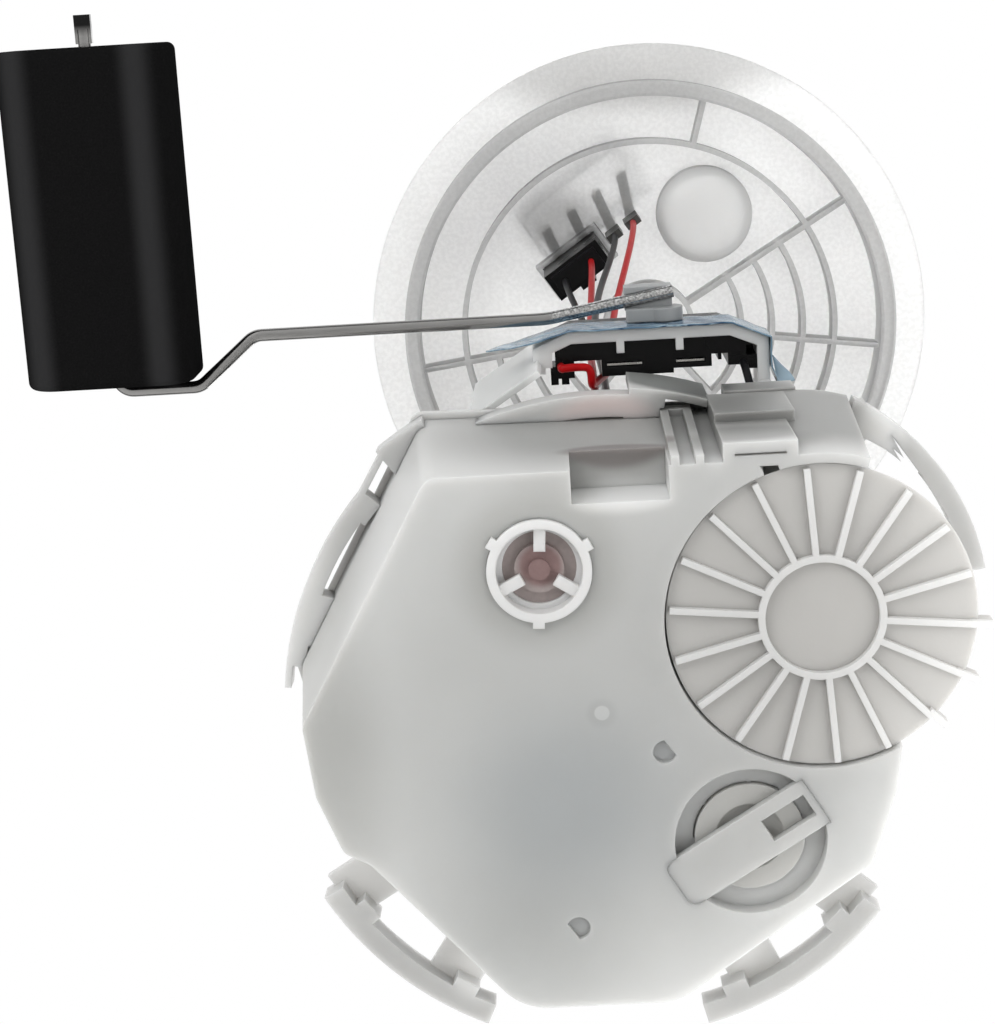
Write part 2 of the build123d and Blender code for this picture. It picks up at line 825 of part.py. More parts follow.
def reservoir_cover():
    """The cover on the cup, with the pump's tower, the rods' sleeves and the filter's collar."""
    low, high = cup_height, cup_height + cover_thickness
    outline = cup_outline(cup_flare + cover_overhang, side_lean)
    plate = Pos(0, 0, low) * extrude(outline, amount=cover_thickness)
    grip = filter_radius + fit_gap
    cover = plate - disc(cap_radius, low, high, filter_x, filter_y)
    cover += disc(grip + collar_wall, low, collar_top(), filter_x, filter_y)
    cover += arc_band(cap_radius + 1, filter_radius + 1, collar_web_start, collar_web_end, low, high,
                      filter_x, filter_y)
    cover += disc(tower_bore() + tower_wall, low, tower_top(), pump_x, pump_y)
    cover += block(foot_block_left, foot_block_right, foot_block_front, foot_block_back, low,
                   high + foot_block_height)
    for x, y in ((rod_left_x, rod_left_y), (rod_right_x, rod_right_y)):
        cover += disc(sleeve_bore() + sleeve_wall, low, sleeve_top, x, y)
    cover -= disc(grip, low, collar_top(), filter_x, filter_y)
    cover -= disc(tower_bore(), low, tower_top(), pump_x, pump_y)
    for x, y in ((rod_left_x, rod_left_y), (rod_right_x, rod_right_y)):
        cover -= disc(sleeve_bore(), low, sleeve_top - sleeve_collar, x, y)
        cover -= disc(rod_radius + running_gap, sleeve_top - sleeve_collar, sleeve_top, x, y)
    # the holder's foot, the jet pump's pipe and the pump's leads pass through
    foot = holder_wall / 2 + fit_gap
    cover -= block(holder_right - holder_wall / 2 - foot, holder_right - holder_wall / 2 + foot,
                   foot_front - fit_gap, foot_back + fit_gap, high, high + foot_block_height)
    cover -= disc(jet_radius + air_gap, low, high, jet_x, jet_y)
    cover -= block(lead_hole_left, lead_hole_right, lead_hole_front, lead_hole_back, low, high)
    return cover


def rim_bridge(angle, radius, width):
    """A flat bridge from the rim in under the cover's edge."""
    outer = radius - rim_width / 2
    return spoke(outer - bridge_depth, outer, width, angle, cup_height - bridge_thickness, cup_height)


def rim_arc(radius, start, end):
    return arc_band(radius, radius - rim_width, start, end, cup_height - rim_height, cup_height)


def rim_tooth(angle, radius):
    inner = radius - rim_width
    return spoke(inner - tooth_reach, inner + 1, tooth_width, angle, cup_height - rim_height, cup_height)


def side_rim():
    """The left arc, with a hook at one end and a springy strap to a lug at the other."""
    low, high = cup_height - rim_height, cup_height
    centre = (side_rim_x, side_rim_y)
    arc = arc_band(side_rim_radius, side_rim_radius - side_rim_width, -170, -137, low, high, *centre)
    hook = arc_band(side_rim_radius, side_rim_radius - strap_rim_width, -174, -169, low, high, *centre)
    # the strap runs straight from the arc's end out to the lug
    start = around(-137.5, side_rim_radius - strap_rim_width / 2, *centre)
    end = around(-125, lug_radius - strap_rim_width / 2)
    strap = Pos(0, 0, low) * extrude(trace(Polyline(start, end), line_width=strap_rim_width),
                                     amount=high - low)
    lug = arc_band(lug_radius, lug_radius - lug_width, -126.5, -118, low, high)
    inner = side_rim_radius - side_rim_width
    tab = spoke(inner - 1, side_rim_radius - 1, tooth_width, -138.5, low, high)
    bridge = spoke(inner - 10, inner + 1, bridge_width, -161, low, high)
    return arc + hook + strap + lug + Pos(*centre, 0) * (tab + bridge)


def filter_rim():
    """The arc round the filter, with a bar that reaches in to it and a wedge between the two."""
    low, high = cup_height - rim_height, cup_height
    centre = (filter_rim_x, filter_rim_y)
    arc = arc_band(filter_rim_radius, filter_rim_radius - filter_rim_width, -80, -9, low, high, *centre)
    middle = around(filter_bar_place, filter_rim_radius - filter_bar_inset, *centre)
    bar = turned_block(*middle, filter_bar_angle, filter_bar_length, filter_bar_width, low, high)
    inner = filter_rim_radius - filter_rim_width
    wide = degrees(filter_slit_length / inner)
    start, end = filter_bar_place, filter_bar_place + wide
    wedge = prism([around(start, inner + 1.8, *centre), around(end, inner + 0.2, *centre),
                   around(end, inner - 1.3, *centre)], low, high)
    return arc + bar - wedge


def front_rim():
    """The arc below the sender, with a curved wall that stands up in front of the leads."""
    arc = rim_arc(front_rim_radius, -110.5, -78.5)
    arc += rim_tooth(-108, front_rim_radius) + rim_tooth(-83, front_rim_radius)
    low, high = cup_height - rim_height, cup_height + guide_rise
    return arc + arc_band(front_rim_radius + guide_wall, front_rim_radius - 0.2, guide_start, guide_end,
                          low, high)


def rim_ring():
    """Arcs that centre the reservoir in the tank's opening, hooked under the cover's edge."""
    low_left = rim_arc(rim_radius, 114.5, 151)
    low_left += rim_bridge(148.5, rim_radius, bridge_width) + rim_bridge(123.5, rim_radius, bridge_width)
    low_left += rim_tooth(144.5, rim_radius) + rim_tooth(121, rim_radius)
    low_right = rim_arc(right_rim_radius, 38.5, 75.5)
    low_right += rim_bridge(41, right_rim_radius, bridge_width)
    low_right += rim_bridge(64, right_rim_radius, bridge_width)
    low_right += rim_tooth(45, right_rim_radius) + rim_tooth(68.5, right_rim_radius)
    clear = leaning(fit_gap, 0, cup_height) + disc(bay_radius(), 0, cup_height, filter_x, filter_y)
    clear += Pos(filter_x, filter_y, 0) * arc_band(shroud_high_radius + 1, 1, shroud_start,
                                                   shroud_end + 3, 0, cup_height)
    clear += block(block_left - fit_gap, block_right + block_setback + fit_gap,
                   front_at(0) - block_reach - fit_gap, 0, 0, cup_height)
    clear += block(hook_left - fit_gap, hook_right + fit_gap,
                   front_at(cup_height) - hook_reach - fit_gap, 0, 0, cup_height)
    arcs = [arc - clear for arc in (low_left, low_right, front_rim(), side_rim(), filter_rim())]
    solids = [max(arc.solids(), key=lambda solid: solid.volume) for arc in arcs]
    return Compound(solids)


# ---------------------------------------------------------------- inlet valve

def inlet_valve_cage():
    """The valve's seat, pressed into the floor, with tabs below and stops above."""
    top = cage_top + 2 * fit_gap + disc_thickness + valve_lift
    cage = ring(cage_radius - fit_gap, cage_bore, -cage_drop, cage_top)
    cage += ring(cage_bore + 1, seat_radius, seat_low, cage_top)
    for number in range(3):
        turn = 120 * number
        cage += spoke(tab_reach, cage_bore + 1, tab_width, tab_angle + turn, -0.2, 1.2)
        cage += spoke(cage_radius - 1, cage_radius + nub_reach, tab_width, nub_angle + turn, -cage_drop,
                      -fit_gap)
        cage += spoke(disc_radius + air_gap, cage_radius - fit_gap, tab_width, tab_angle + turn, cage_top,
                      top + post_thickness)
        cage += spoke(0, cage_radius - fit_gap, tab_width, tab_angle + turn, top, top + post_thickness)
    return Pos(inlet_x, inlet_y, 0) * cage


def inlet_valve_disc():
    """A rubber disc that lifts off its seat to let fuel in."""
    low = cage_top + fit_gap
    shape = turned([(0, tip_low), (tip_radius, tip_low), (tip_radius, boss_low), (boss_radius, boss_low),
                    (boss_radius, low), (disc_radius, low), (disc_radius, low + disc_thickness),
                    (0, low + disc_thickness)])
    return Pos(inlet_x, inlet_y, 0) * shape


# ---------------------------------------------------------------- pressure regulator

def strap_outline(grow, low, high):
    """The regulator's retaining strap, a flat bar with two rounded corners."""
    middle = around(strap_angle, strap_shift, regulator_x, regulator_y)
    outline = Rectangle(strap_length + 2 * grow, strap_width + 2 * grow)
    outline = fillet(outline.vertices().sort_by(Axis.X)[:2], strap_width / 5)
    bar = Pos(0, 0, low) * extrude(outline, amount=high - low)
    return Pos(*middle, 0) * Rot(0, 0, strap_angle) * bar


def regulator_strap():
    strap = strap_outline(0, 0, strap_thickness)
    far = strap_length / 2 - strap_slot_inset - strap_slot_length / 2
    place = around(strap_angle, strap_shift + far, regulator_x, regulator_y)
    return strap - turned_block(*place, strap_angle, strap_slot_length, strap_slot_width, 0,
                                strap_thickness)


def pressure_regulator():
    neck_top = regulator_top + regulator_neck_height
    shape = turned([(0, regulator_face), (regulator_radius, regulator_face),
                    (regulator_radius, seal_low), (regulator_radius - seal_depth, seal_low),
                    (regulator_radius - seal_depth, seal_low + seal_height),
                    (regulator_radius, seal_low + seal_height),
                    (regulator_radius, regulator_top - 1), (regulator_radius - 1, regulator_top - fit_gap),
                    (regulator_neck, regulator_top - fit_gap), (regulator_neck, neck_top), (0, neck_top)])
    shape -= Pos(0, 0, regulator_face) * scale(Sphere(dimple_radius), by=(1, 1, dimple_depth / dimple_radius))
    shape -= disc(regulator_neck / 2, regulator_face + 4, neck_top)
    return Pos(regulator_x, regulator_y, 0) * shape


def regulator_seal():
    """The rubber ring in the regulator's groove."""
    thick = (regulator_radius + fit_gap - (regulator_radius - seal_depth)) / 2 - 0.02
    place = Pos(regulator_x, regulator_y, seal_low + seal_height / 2)
    return place * Torus(regulator_radius - seal_depth + thick + 0.02, thick)


# ---------------------------------------------------------------- filter

def filter_canister():
    """The filter's vessel with its wide ribbed bottom panel."""
    top_radius = cap_radius - cap_taper
    shape = turned([(0, 0), (cap_radius, 0), (top_radius, cap_height), (filter_radius, cap_height),
                    (filter_radius, filter_height), (0, filter_height)])
    shape -= disc(cap_radius, 0, panel_recess)
    shape += ring(filter_hub_radius, filter_hub_radius - filter_hub_wall, 0, panel_recess)
    for number in range(filter_rib_count):
        angle = filter_rib_angle + 360 * number / filter_rib_count
        shape += spoke(filter_hub_radius - filter_hub_wall / 2, top_radius, filter_rib_width, angle, 0,
                       panel_recess)
    for angle in fin_angles:
        shape += spoke(top_radius - 1, cap_radius + fin_reach, filter_rib_width, angle, 0, cap_height)
    shape += ring(filter_radius + bead_reach, filter_radius - 1, collar_top() + fit_gap,
                  collar_top() + fit_gap + bead_height)
    shape -= disc(filter_radius - filter_wall, cap_height, filter_height)
    return Pos(filter_x, filter_y, 0) * shape


def outlet_place():
    return outlet_x - reservoir_side, outlet_y - reservoir_back


def filter_lid():
    """The vessel's lid with its two nipples."""
    low = filter_height + fit_gap
    spigot = filter_radius - filter_wall - fit_gap
    lid = disc(filter_radius, low, low + lid_thickness, filter_x, filter_y)
    lid += ring(spigot, spigot - filter_wall, low - lid_spigot, low, filter_x, filter_y)
    top = low + lid_thickness + outlet_nipple_height
    for x, y in (outlet_place(), (feed_x, feed_y)):
        lid += disc(pipe_radius, low, top, x, y)
        lid += disc(pipe_radius + 1.2, low, low + lid_thickness + 1.5, x, y)
    for x, y in (outlet_place(), (feed_x, feed_y)):
        lid -= disc(pipe_bore, low, top, x, y)
    return lid


def filter_element():
    """The pleated element, held between the vessel's floor and the lid's spigot."""
    points = []
    for number in range(element_pleats):
        step = 360 / element_pleats
        points.append(around(number * step, element_radius))
        points.append(around((number + 0.5) * step, element_root))
    low, high = cap_height + fit_gap, filter_height - lid_spigot - fit_gap
    shape = prism(points, low + 1, high - 1)
    shape += disc(element_radius, low, low + 1) + disc(element_radius, high - 1, high)
    shape -= disc(element_bore, low + 1, high)
    return Pos(filter_x, filter_y, 0) * shape


# ---------------------------------------------------------------- pump

def pump_body():
    return ring(pump_radius, pump_radius - can_wall, pump_low, pump_high, pump_x, pump_y)


def plug_fit():
    return pump_radius - can_wall - fit_gap


def pump_inlet_cap():
    """The pump's lower end with its inlet port, bearing and lead socket."""
    cap = disc(plug_fit(), pump_low, pump_low + cap_plug)
    cap += disc(head_radius, pump_low - inlet_cap_height, pump_low)
    reach = -pump_radius - air_gap
    cap += block(-socket_half, socket_half, reach - 2 * socket_half, -head_radius / 2,
                 pump_low - inlet_cap_height, pump_low - fit_gap)
    cap += block(-socket_half, socket_half, reach - 2 * socket_half, reach,
                 pump_low - inlet_cap_height, pump_low + cap_plug)
    cap -= disc(shaft + air_gap, pump_low - inlet_cap_height + 1.5, pump_low + cap_plug)
    cap -= disc(pipe_radius + fit_gap, pump_low - inlet_cap_height, pump_low + cap_plug, port_offset, 0)
    return Pos(pump_x, pump_y, 0) * cap


def pump_head():
    """The pump's upper end with its outlet nozzle."""
    top = pump_high + head_height
    head = disc(plug_fit(), pump_high - cap_plug, pump_high)
    head += disc(head_radius, pump_high, top)
    head = chamfer(head.edges().group_by(Axis.Z)[-1], 1.5)
    head += disc(pipe_radius, top - 1, top + nozzle_height, nozzle_side, 0)
    head -= disc(nozzle_bore, pump_high - cap_plug, top + nozzle_height, nozzle_side, 0)
    head -= disc(shaft + air_gap, pump_high - cap_plug, pump_high + 1)
    return Pos(pump_x, pump_y, 0) * head


def pump_rotor():
    """Shaft, impeller, armature and commutator."""
    low, high = pump_low - inlet_cap_height + 1.5 + air_gap, pump_high + 1 - air_gap
    impeller = pump_low + cap_plug + 1
    rotor = disc(shaft, low, high) + disc(impeller_radius, impeller, impeller + 3)
    rotor += disc(armature_radius, armature_low, armature_high)
    rotor += disc(commutator_radius, armature_high + 2, armature_high + 7)
    return Pos(pump_x, pump_y, 0) * rotor


def pump_magnets():
    """Two magnets on the can's inside."""
    shells = []
    for start in (-65, 115):
        shells.append(arc_band(plug_fit(), armature_radius + 1, start, start + 130, armature_low,
                               armature_high, pump_x, pump_y))
    return Compound(shells)


def pump_isolator():
    """The rubber sleeve that grips the pump in its tower."""
    outer = tower_bore() - fit_gap
    inner = pump_radius + fit_gap
    sleeve = ring(outer, inner, isolator_low, tower_top() + fit_gap, pump_x, pump_y)
    lip = ring(tower_bore() + tower_wall, inner, tower_top() + fit_gap, tower_top() + fit_gap + isolator_wall,
               pump_x, pump_y)
    return sleeve + lip


def pump_strainer():
    """The flat strainer under the pump, on a neck in the inlet port."""
    top = pump_low - inlet_cap_height - fit_gap
    body = disc(strainer_radius, strainer_low, top, pump_x, pump_y)
    body = fillet(body.edges(), 1.5)
    neck = disc(pipe_radius, top - 1, pump_low, pump_x + port_offset, pump_y)
    return body + neck - disc(pipe_bore, strainer_low + 1.5, pump_low, pump_x + port_offset, pump_y)


def nozzle_place():
    return pump_x + nozzle_side, pump_y


def feed_hose():
    """From the pump's nozzle up, over and down onto the filter's feed nipple."""
    start = pump_high + head_height + fit_gap
    end = filter_height + fit_gap + lid_thickness + 1.5 + fit_gap
    crest = start + nozzle_height + 4 * pipe_radius
    x, y = nozzle_place()
    points = [(x, y, start), (x, y, crest), (feed_x, feed_y, crest), (feed_x, feed_y, end)]
    bend = 3 * pipe_radius
    inner = pipe_radius + fit_gap
    return lead(points, inner + hose_wall, bend) - lead(points, inner, bend)


# ---------------------------------------------------------------- jet pump

def jet_pump():
    """A small ejector on the floor that keeps the reservoir full."""
    low = cup_floor
    shape = disc(jet_radius, low, jet_height)
    shape += block(-jet_foot, jet_foot, -jet_radius, jet_radius, low, low + 3)
    shape += block(-jet_foot, 0, -jet_radius, jet_radius, low, low + 2 * jet_radius)
    shape -= disc(jet_bore, low + 3, jet_height)
    shape -= Pos(-jet_foot / 2, 0, low + jet_radius) * Rot(0, 90, 0) * Cylinder(jet_bore, jet_foot)
    return Pos(jet_x, jet_y, 0) * shape


def jet_hose():
    """Return line from a tap on the pump's head down to the jet pump."""
    top = pump_high + head_height
    crest = top + 4 * jet_radius
    tap = pump_x - tap_offset
    points = [(jet_x, jet_y, jet_height + fit_gap), (jet_x, jet_y, crest), (tap, pump_y, crest),
              (tap, pump_y, top + fit_gap)]
    return lead(points, jet_hose_radius, 2 * jet_radius) - lead(points, jet_bore, 2 * jet_radius)


# ---------------------------------------------------------------- level sender

def holder_face(inset):
    """The channel's outline, filled, with its walls moved in by inset."""
    far = 0.0
    left, right, front = holder_left, holder_right, holder_front
    outline = Polyline((left, far), (left, front + holder_chamfer_y), (left + holder_chamfer_x, front),
                       (right - holder_chamfer_x, front), (right, front + holder_chamfer_y), (right, far),
                       close=True)
    face = make_face(outline)
    return offset(face, amount=-inset, kind=Kind.INTERSECTION) if inset else face


def channel(inset, low, high):
    return Pos(0, 0, low) * extrude(holder_face(inset), amount=high - low)


def pivot_bore(radius, front, back):
    """A round bore along Y on the float arm's axis."""
    middle = Pos(pivot_x, (front + back) / 2, pivot_height)
    return middle * Rot(90, 0, 0) * Cylinder(radius, back - front)


def sender_holder():
    """A channel that carries the sender, with a foot in the cover and a web to its left."""
    shape = channel(0, holder_low, holder_high) - channel(holder_wall, holder_low, holder_high)
    shape -= block(holder_left - 1, holder_right + 1, holder_back, 1, holder_low, holder_high)
    shape -= block(holder_left - 1, holder_left + holder_wall + 1, holder_front + holder_left_depth, 1,
                   holder_low, holder_high)
    inner = holder_front + holder_wall
    for x in (holder_rib_one, holder_rib_two):
        half = holder_rib_width / 2
        shape += block(x - half, x + half, inner - 1, inner + holder_rib_reach, holder_low, holder_rib_top)
    shape += block(holder_left + holder_wall / 2, shelf_right, shelf_front, shelf_back, holder_low,
                   holder_low + holder_rib_reach)
    seat = cup_height + cover_thickness + fit_gap
    shape += block(holder_right - holder_wall, holder_right, foot_front, foot_back, seat, holder_low + 1)
    root = (holder_left + holder_wall / 2, holder_front + holder_left_depth - holder_wall)
    web = trace(Polyline(root, (web_end_x, web_end_y)), line_width=web_thickness)
    shape += Pos(0, 0, seat) * extrude(web, amount=web_top - seat)
    return shape - pivot_bore(shaft_radius + air_gap, holder_front - 1, inner + 1)


def sender_housing():
    """The black moulding behind the holder's front wall, with the wiper's chamber."""
    low, high = housing_low, housing_high
    shape = channel(holder_wall + fit_gap, low, high)
    shape -= block(holder_left - 1, holder_right + 1, housing_back, 1, low, high)
    shape -= block(holder_left - 1, housing_left, holder_front, 1, low, high)
    inner = holder_front + holder_wall
    for x in (holder_rib_one, holder_rib_two):
        half = holder_rib_width / 2 + fit_gap
        shape -= block(x - half, x + half, inner, inner + holder_rib_reach + fit_gap, low,
                       holder_rib_top + fit_gap)
    # open gaps and thinner stretches at the back
    shape -= block(left_gap_left, left_gap_right, gap_front, housing_back, low, high)
    shape -= block(right_gap_left, right_gap_right, gap_front, housing_back, low, high)
    middle = (right_gap_left + right_gap_right) / 2
    shape += block(middle - right_gap_bar / 2, middle + right_gap_bar / 2, gap_front, gap_front + 1.2, low,
                   high)
    shape -= block(step_left, right_gap_left + 1, step_back, housing_back, low, high)
    shape -= block(right_gap_right - 1, step_right, step_back, housing_back, low, high)
    shape -= block(latch_left, holder_right, latch_front, latch_back, low, low + finger_height)
    # sprung fingers
    for left in (finger_left_one, finger_left_two):
        shape += block(left, left + finger_width, step_back - 1.5, finger_left_back, low, low + finger_height)
    shape += block(housing_left - 1, housing_left + 1, step_back - 1.5, step_back, low, low + finger_height)
    shape -= block(chamber_left, chamber_right, chamber_front, chamber_back, low + housing_wall,
                   chamber_high)
    for left, right in ((slot_one_left, slot_one_right), (slot_two_left, slot_two_right)):
        shape -= block(left, right, slot_front, slot_back, low, low + slot_deep)
    return shape - pivot_bore(shaft_radius + air_gap, inner, chamber_front)


def sender_card():
    """The resistor card on the chamber's back wall."""
    back = chamber_back - fit_gap
    return block(chamber_left + 1.5, chamber_right - 1.5, back - card_thickness, back, card_low, card_high)


def sender_contacts():
    """Two sprung strips in the housing's lower slots."""
    strips = []
    middle = (slot_front + slot_back) / 2
    for left, right in ((slot_one_left, slot_one_right), (slot_two_left, slot_two_right)):
        strips.append(block(left + fit_gap, right - fit_gap, middle - strip_thickness / 2,
                            middle + strip_thickness / 2, housing_low + 0.2, housing_low + slot_deep))
    return Compound(strips)


def sender_film():
    """A thin strip of film wrapped round the holder's front."""
    out = film_thickness / 2 + 2 * fit_gap
    front = holder_front - out
    side = holder_right + out
    points = [(film_left, film_left_y), (holder_left + holder_chamfer_x, front),
              (holder_right - holder_chamfer_x, front), (side, holder_front + holder_chamfer_y - out / 2),
              (side, film_bend_y), (film_right, film_right_y)]
    strip = trace(Polyline(*points), line_width=film_thickness)
    strip = Pos(0, 0, film_low) * extrude(strip, amount=film_high - film_low)
    return strip - pivot_bore(shaft_radius + 2 * air_gap, front - 1, front + 1)


def film_face():
    """The Y of the film's outer face."""
    return holder_front - film_thickness - 2 * fit_gap


# ---------------------------------------------------------------- float arm and float

def arm_points():
    return [(wire_start_x, wire_start_y, pivot_height), (bend_one_x, wire_run_y, pivot_height),
            (bend_two_x, wire_run_y, pivot_height), (bend_three_x, wire_float_y, pivot_height),
            (float_axis_x, wire_float_y, pivot_height),
            (float_axis_x, wire_tip_y + tip_length / 2, pivot_height)]


def arm_wire():
    """The bent steel wire, flattened at its tip so that the float stays on."""
    radii = [5 * wire_bend_radius, wire_bend_radius, wire_bend_radius, wire_bend_radius * 0.8]
    path = FilletPolyline(*arm_points(), radius=radii)
    section = Plane(origin=path @ 0, z_dir=path % 0) * Circle(wire_radius)
    tip = block(float_axis_x - tip_width / 2, float_axis_x + tip_width / 2, wire_tip_y,
                wire_tip_y + tip_length, pivot_height - tip_thickness / 2,
                pivot_height + tip_thickness / 2)
    return sweep(section, path=path) + tip


def arm_hub():
    """The pivot's hub: a disc and flat arm, the shaft, and a boss with a groove for the wire."""
    near = film_face() - hub_gap
    far = near - hub_thickness
    hub = pivot_bore(hub_radius_arm, far, near)
    hub += block(hub_left, hub_right, far, near, pivot_height - hub_height / 2,
                 pivot_height + hub_height / 2)
    hub += pivot_bore(shaft_radius, near - 0.5, chamber_front + wiper_inset + wiper_thickness)
    hub += block(boss_left, boss_right, boss_front, far + 0.5, pivot_height, pivot_height + boss_height)
    start, end = arm_points()[0], arm_points()[1]
    angle = degrees(atan2(end[1] - start[1], end[0] - start[0]))
    length = boss_right - boss_left
    middle = around(angle, length / 2, start[0], start[1])
    groove = Pos(*middle, pivot_height) * Rot(0, 0, angle) * Rot(0, 90, 0)
    return hub - groove * Cylinder(wire_radius + fit_gap, 3 * length)


def sender_wiper():
    """The wiper on the shaft's end inside the chamber."""
    low = chamber_front + wiper_inset
    bar = block(-wiper_width / 2, wiper_width / 2, low, low + wiper_thickness, 0, wiper_length)
    bar = Pos(pivot_x, 0, pivot_height) * Rot(0, wiper_angle, 0) * bar
    ring_part = pivot_bore(shaft_radius + wiper_ring, low, low + wiper_thickness)
    return bar + ring_part - pivot_bore(shaft_radius + 0.02, low - 1, low + wiper_thickness + 1)


def float_block():
    """The float, a rounded bar with a through bore for the wire."""
    shape = block(float_axis_x - float_width / 2, float_axis_x + float_width / 2, float_far, float_near,
                  pivot_height - float_thickness / 2, pivot_height + float_thickness / 2)
    shape = fillet(shape.edges().filter_by(Axis.Y), float_round)
    ends = shape.faces().filter_by(Axis.Y)
    shape = fillet(ends.edges(), float_edge)
    middle = Pos(float_axis_x, (float_far + float_near) / 2, pivot_height)
    return shape - middle * Rot(90, 0, 0) * Cylinder(wire_radius + air_gap, float_near - float_far)


# ---------------------------------------------------------------- hoses and leads

def hose_top():
    """The hose ends under the flange's ribs."""
    return module_height - rib_depth - air_gap


def hose_bore():
    return pipe_radius + spigot_barb + fit_gap


def outlet_hose():
    """A corrugated hose from the filter's outlet nipple up to the flange's spigot."""
    x, y = outlet_place()
    low = filter_height + lid_thickness + 1.5 + 3 * fit_gap
    high = hose_top()
    inner = hose_bore()
    outline = [(inner, low), (inner + hose_wall, low), (inner + hose_wall, low + hose_cuff)]
    pitch = (high - low - 2 * hose_cuff) / hose_waves
    for number in range(hose_waves):
        start = low + hose_cuff + number * pitch
        outline.append((inner + hose_wall + wave_height, start + pitch / 4))
        outline.append((inner + hose_wall + wave_height, start + pitch / 2))
        outline.append((inner + hose_wall, start + pitch * 3 / 4))
    outline += [(inner + hose_wall, high), (inner, high)]
    return turned(outline, x, y)


def hose_clamp(low):
    x, y = outlet_place()
    inner = hose_bore() + hose_wall + fit_gap
    clamp = ring(inner + clamp_thickness, inner, low, low + clamp_width, x, y)
    ear = block(x + inner + 0.2, x + inner + 3, y - 1.2, y + 1.2, low, low + clamp_width)
    return clamp + ear


def blade_place(x, y, side):
    """A terminal's lower end in the reservoir's own frame."""
    near = beside(x, y, side)
    return near[0] - reservoir_side, near[1] - reservoir_back


def sender_lugs():
    """Two crimped sockets on the sender's terminals."""
    lugs = []
    for side in (-1, 1):
        x, y = beside(sender_blade_x, sender_blade_y, side * sender_blade_offset)
        size = (blade_width + 2 * lug_wall, blade_thickness + 2 * lug_wall)
        lug = turned_block(x, y, socket_angle, *size, -lug_low, -lug_top)
        room = (blade_width + fit_gap, blade_thickness + fit_gap)
        lugs.append(lug - turned_block(x, y, socket_angle, *room, -blade_height - 0.5, -lug_top))
    return Compound(lugs)


def pump_lead(side, offset_x, back):
    x, y = blade_place(header_x, header_y, side * pump_blade_offset)
    top = module_height - plug_height - 2 - fit_gap
    end_x = pump_x - side * socket_half / 2
    end_y = pump_y - pump_radius - air_gap - socket_half
    points = [(x, y, top), (x, y, top - 16), (offset_x, back, 120), (offset_x, back, 60),
              (offset_x, lead_hole_y, 42), (offset_x, lead_hole_y, 32), (end_x, end_y, 32),
              (end_x, end_y, pump_low + cap_plug + fit_gap)]
    return lead(points, lead_radius, [8, 8, 5, 4, 4, 4])


def sender_lead_black():
    x, y = blade_place(sender_blade_x, sender_blade_y, -sender_blade_offset)
    top = module_height - lug_low - fit_gap
    points = [(x, y, top), (x, y, top - 16), (sender_top_x, sender_top_y, 128),
              (sender_top_x, sender_top_y, housing_high + fit_gap)]
    return lead(points, lead_radius, [8, 8])


def sender_lead_red():
    x, y = blade_place(sender_blade_x, sender_blade_y, sender_blade_offset)
    top = module_height - lug_low - fit_gap
    back = housing_back + lead_radius + 2 * air_gap
    points = [(x, y, top), (x, y, top - 16), (5.0, back, 125), (5.0, back, 52.5),
              (housing_left_x, back - 4.0, 48.0), (housing_left_x, back - 4.0, housing_low - 0.3)]
    return lead(points, lead_radius, [8, 8, 2.5, 1.2])


def ground_lead():
    """A short lead from the housing's right end into the cover."""
    end = cup_height + cover_thickness + foot_block_height + fit_gap
    points = [(ground_x, ground_y, housing_low - fit_gap), (ground_x, ground_y, housing_low - 2.5),
              (ground_x + 1, foot_block_front + 2.2, end + 2), (ground_x + 1, foot_block_front + 2.2, end)]
    return lead(points, lead_radius, [1.2, 1.0])


def build():
    left, right = rod_places()
    parts = {
        "flange_cap": flange_cap(),
        "pump_terminals": Compound(pump_blades()),
        "sender_terminals": Compound(sender_blades()),
        "rollover_valve": rollover_valve(),
        "guide_rod_left": guide_rod(*left),
        "guide_rod_right": guide_rod(*right),
        "rod_clips": rod_clips(),
        "spring_left": spring(*left),
        "spring_right": spring(*right),
        "pump_plug": pump_plug(),
        "sender_lugs": sender_lugs(),
        "pump_lead_red": hung(pump_lead(1, lead_red_x, lead_red_y)),
        "pump_lead_black": hung(pump_lead(-1, lead_black_x, lead_black_y)),
        "sender_lead_red": hung(sender_lead_red()),
        "sender_lead_black": hung(sender_lead_black()),
        "outlet_hose": hung(outlet_hose()),
        "hose_clamp_top": hung(hose_clamp(hose_top() - hose_cuff + 2)),
        "hose_clamp_low": hung(hose_clamp(filter_height + lid_thickness + 3)),
        "reservoir_cup": hung(reservoir_cup()),
        "reservoir_cover": hung(reservoir_cover()),
        "rim_ring": hung(rim_ring()),
        "inlet_valve_cage": hung(inlet_valve_cage()),
        "inlet_valve_disc": hung(inlet_valve_disc()),
        "pressure_regulator": hung(pressure_regulator()),
        "regulator_seal": hung(regulator_seal()),
        "regulator_strap": hung(regulator_strap()),
        "filter_canister": hung(filter_canister()),
        "filter_lid": hung(filter_lid()),
        "filter_element": hung(filter_element()),
        "pump_body": hung(pump_body()),
        "pump_head": hung(pump_head()),
        "pump_inlet_cap": hung(pump_inlet_cap()),
        "pump_rotor": hung(pump_rotor()),
        "pump_magnets": hung(pump_magnets()),
        "pump_isolator": hung(pump_isolator()),
        "pump_strainer": hung(pump_strainer()),
        "feed_hose": hung(feed_hose()),
        "jet_pump": hung(jet_pump()),
        "jet_hose": hung(jet_hose()),
        "sender_holder": hung(sender_holder()),
        "sender_housing": hung(sender_housing()),
        "sender_card": hung(sender_card()),
        "sender_contacts": hung(sender_contacts()),
        "sender_film": hung(sender_film()),
        "ground_lead": hung(ground_lead()),
        "arm_wire": hung(arm_wire()),
        "arm_hub": hung(arm_hub()),
        "sender_wiper": hung(sender_wiper()),
        "float_block": hung(float_block()),
    }
    return parts


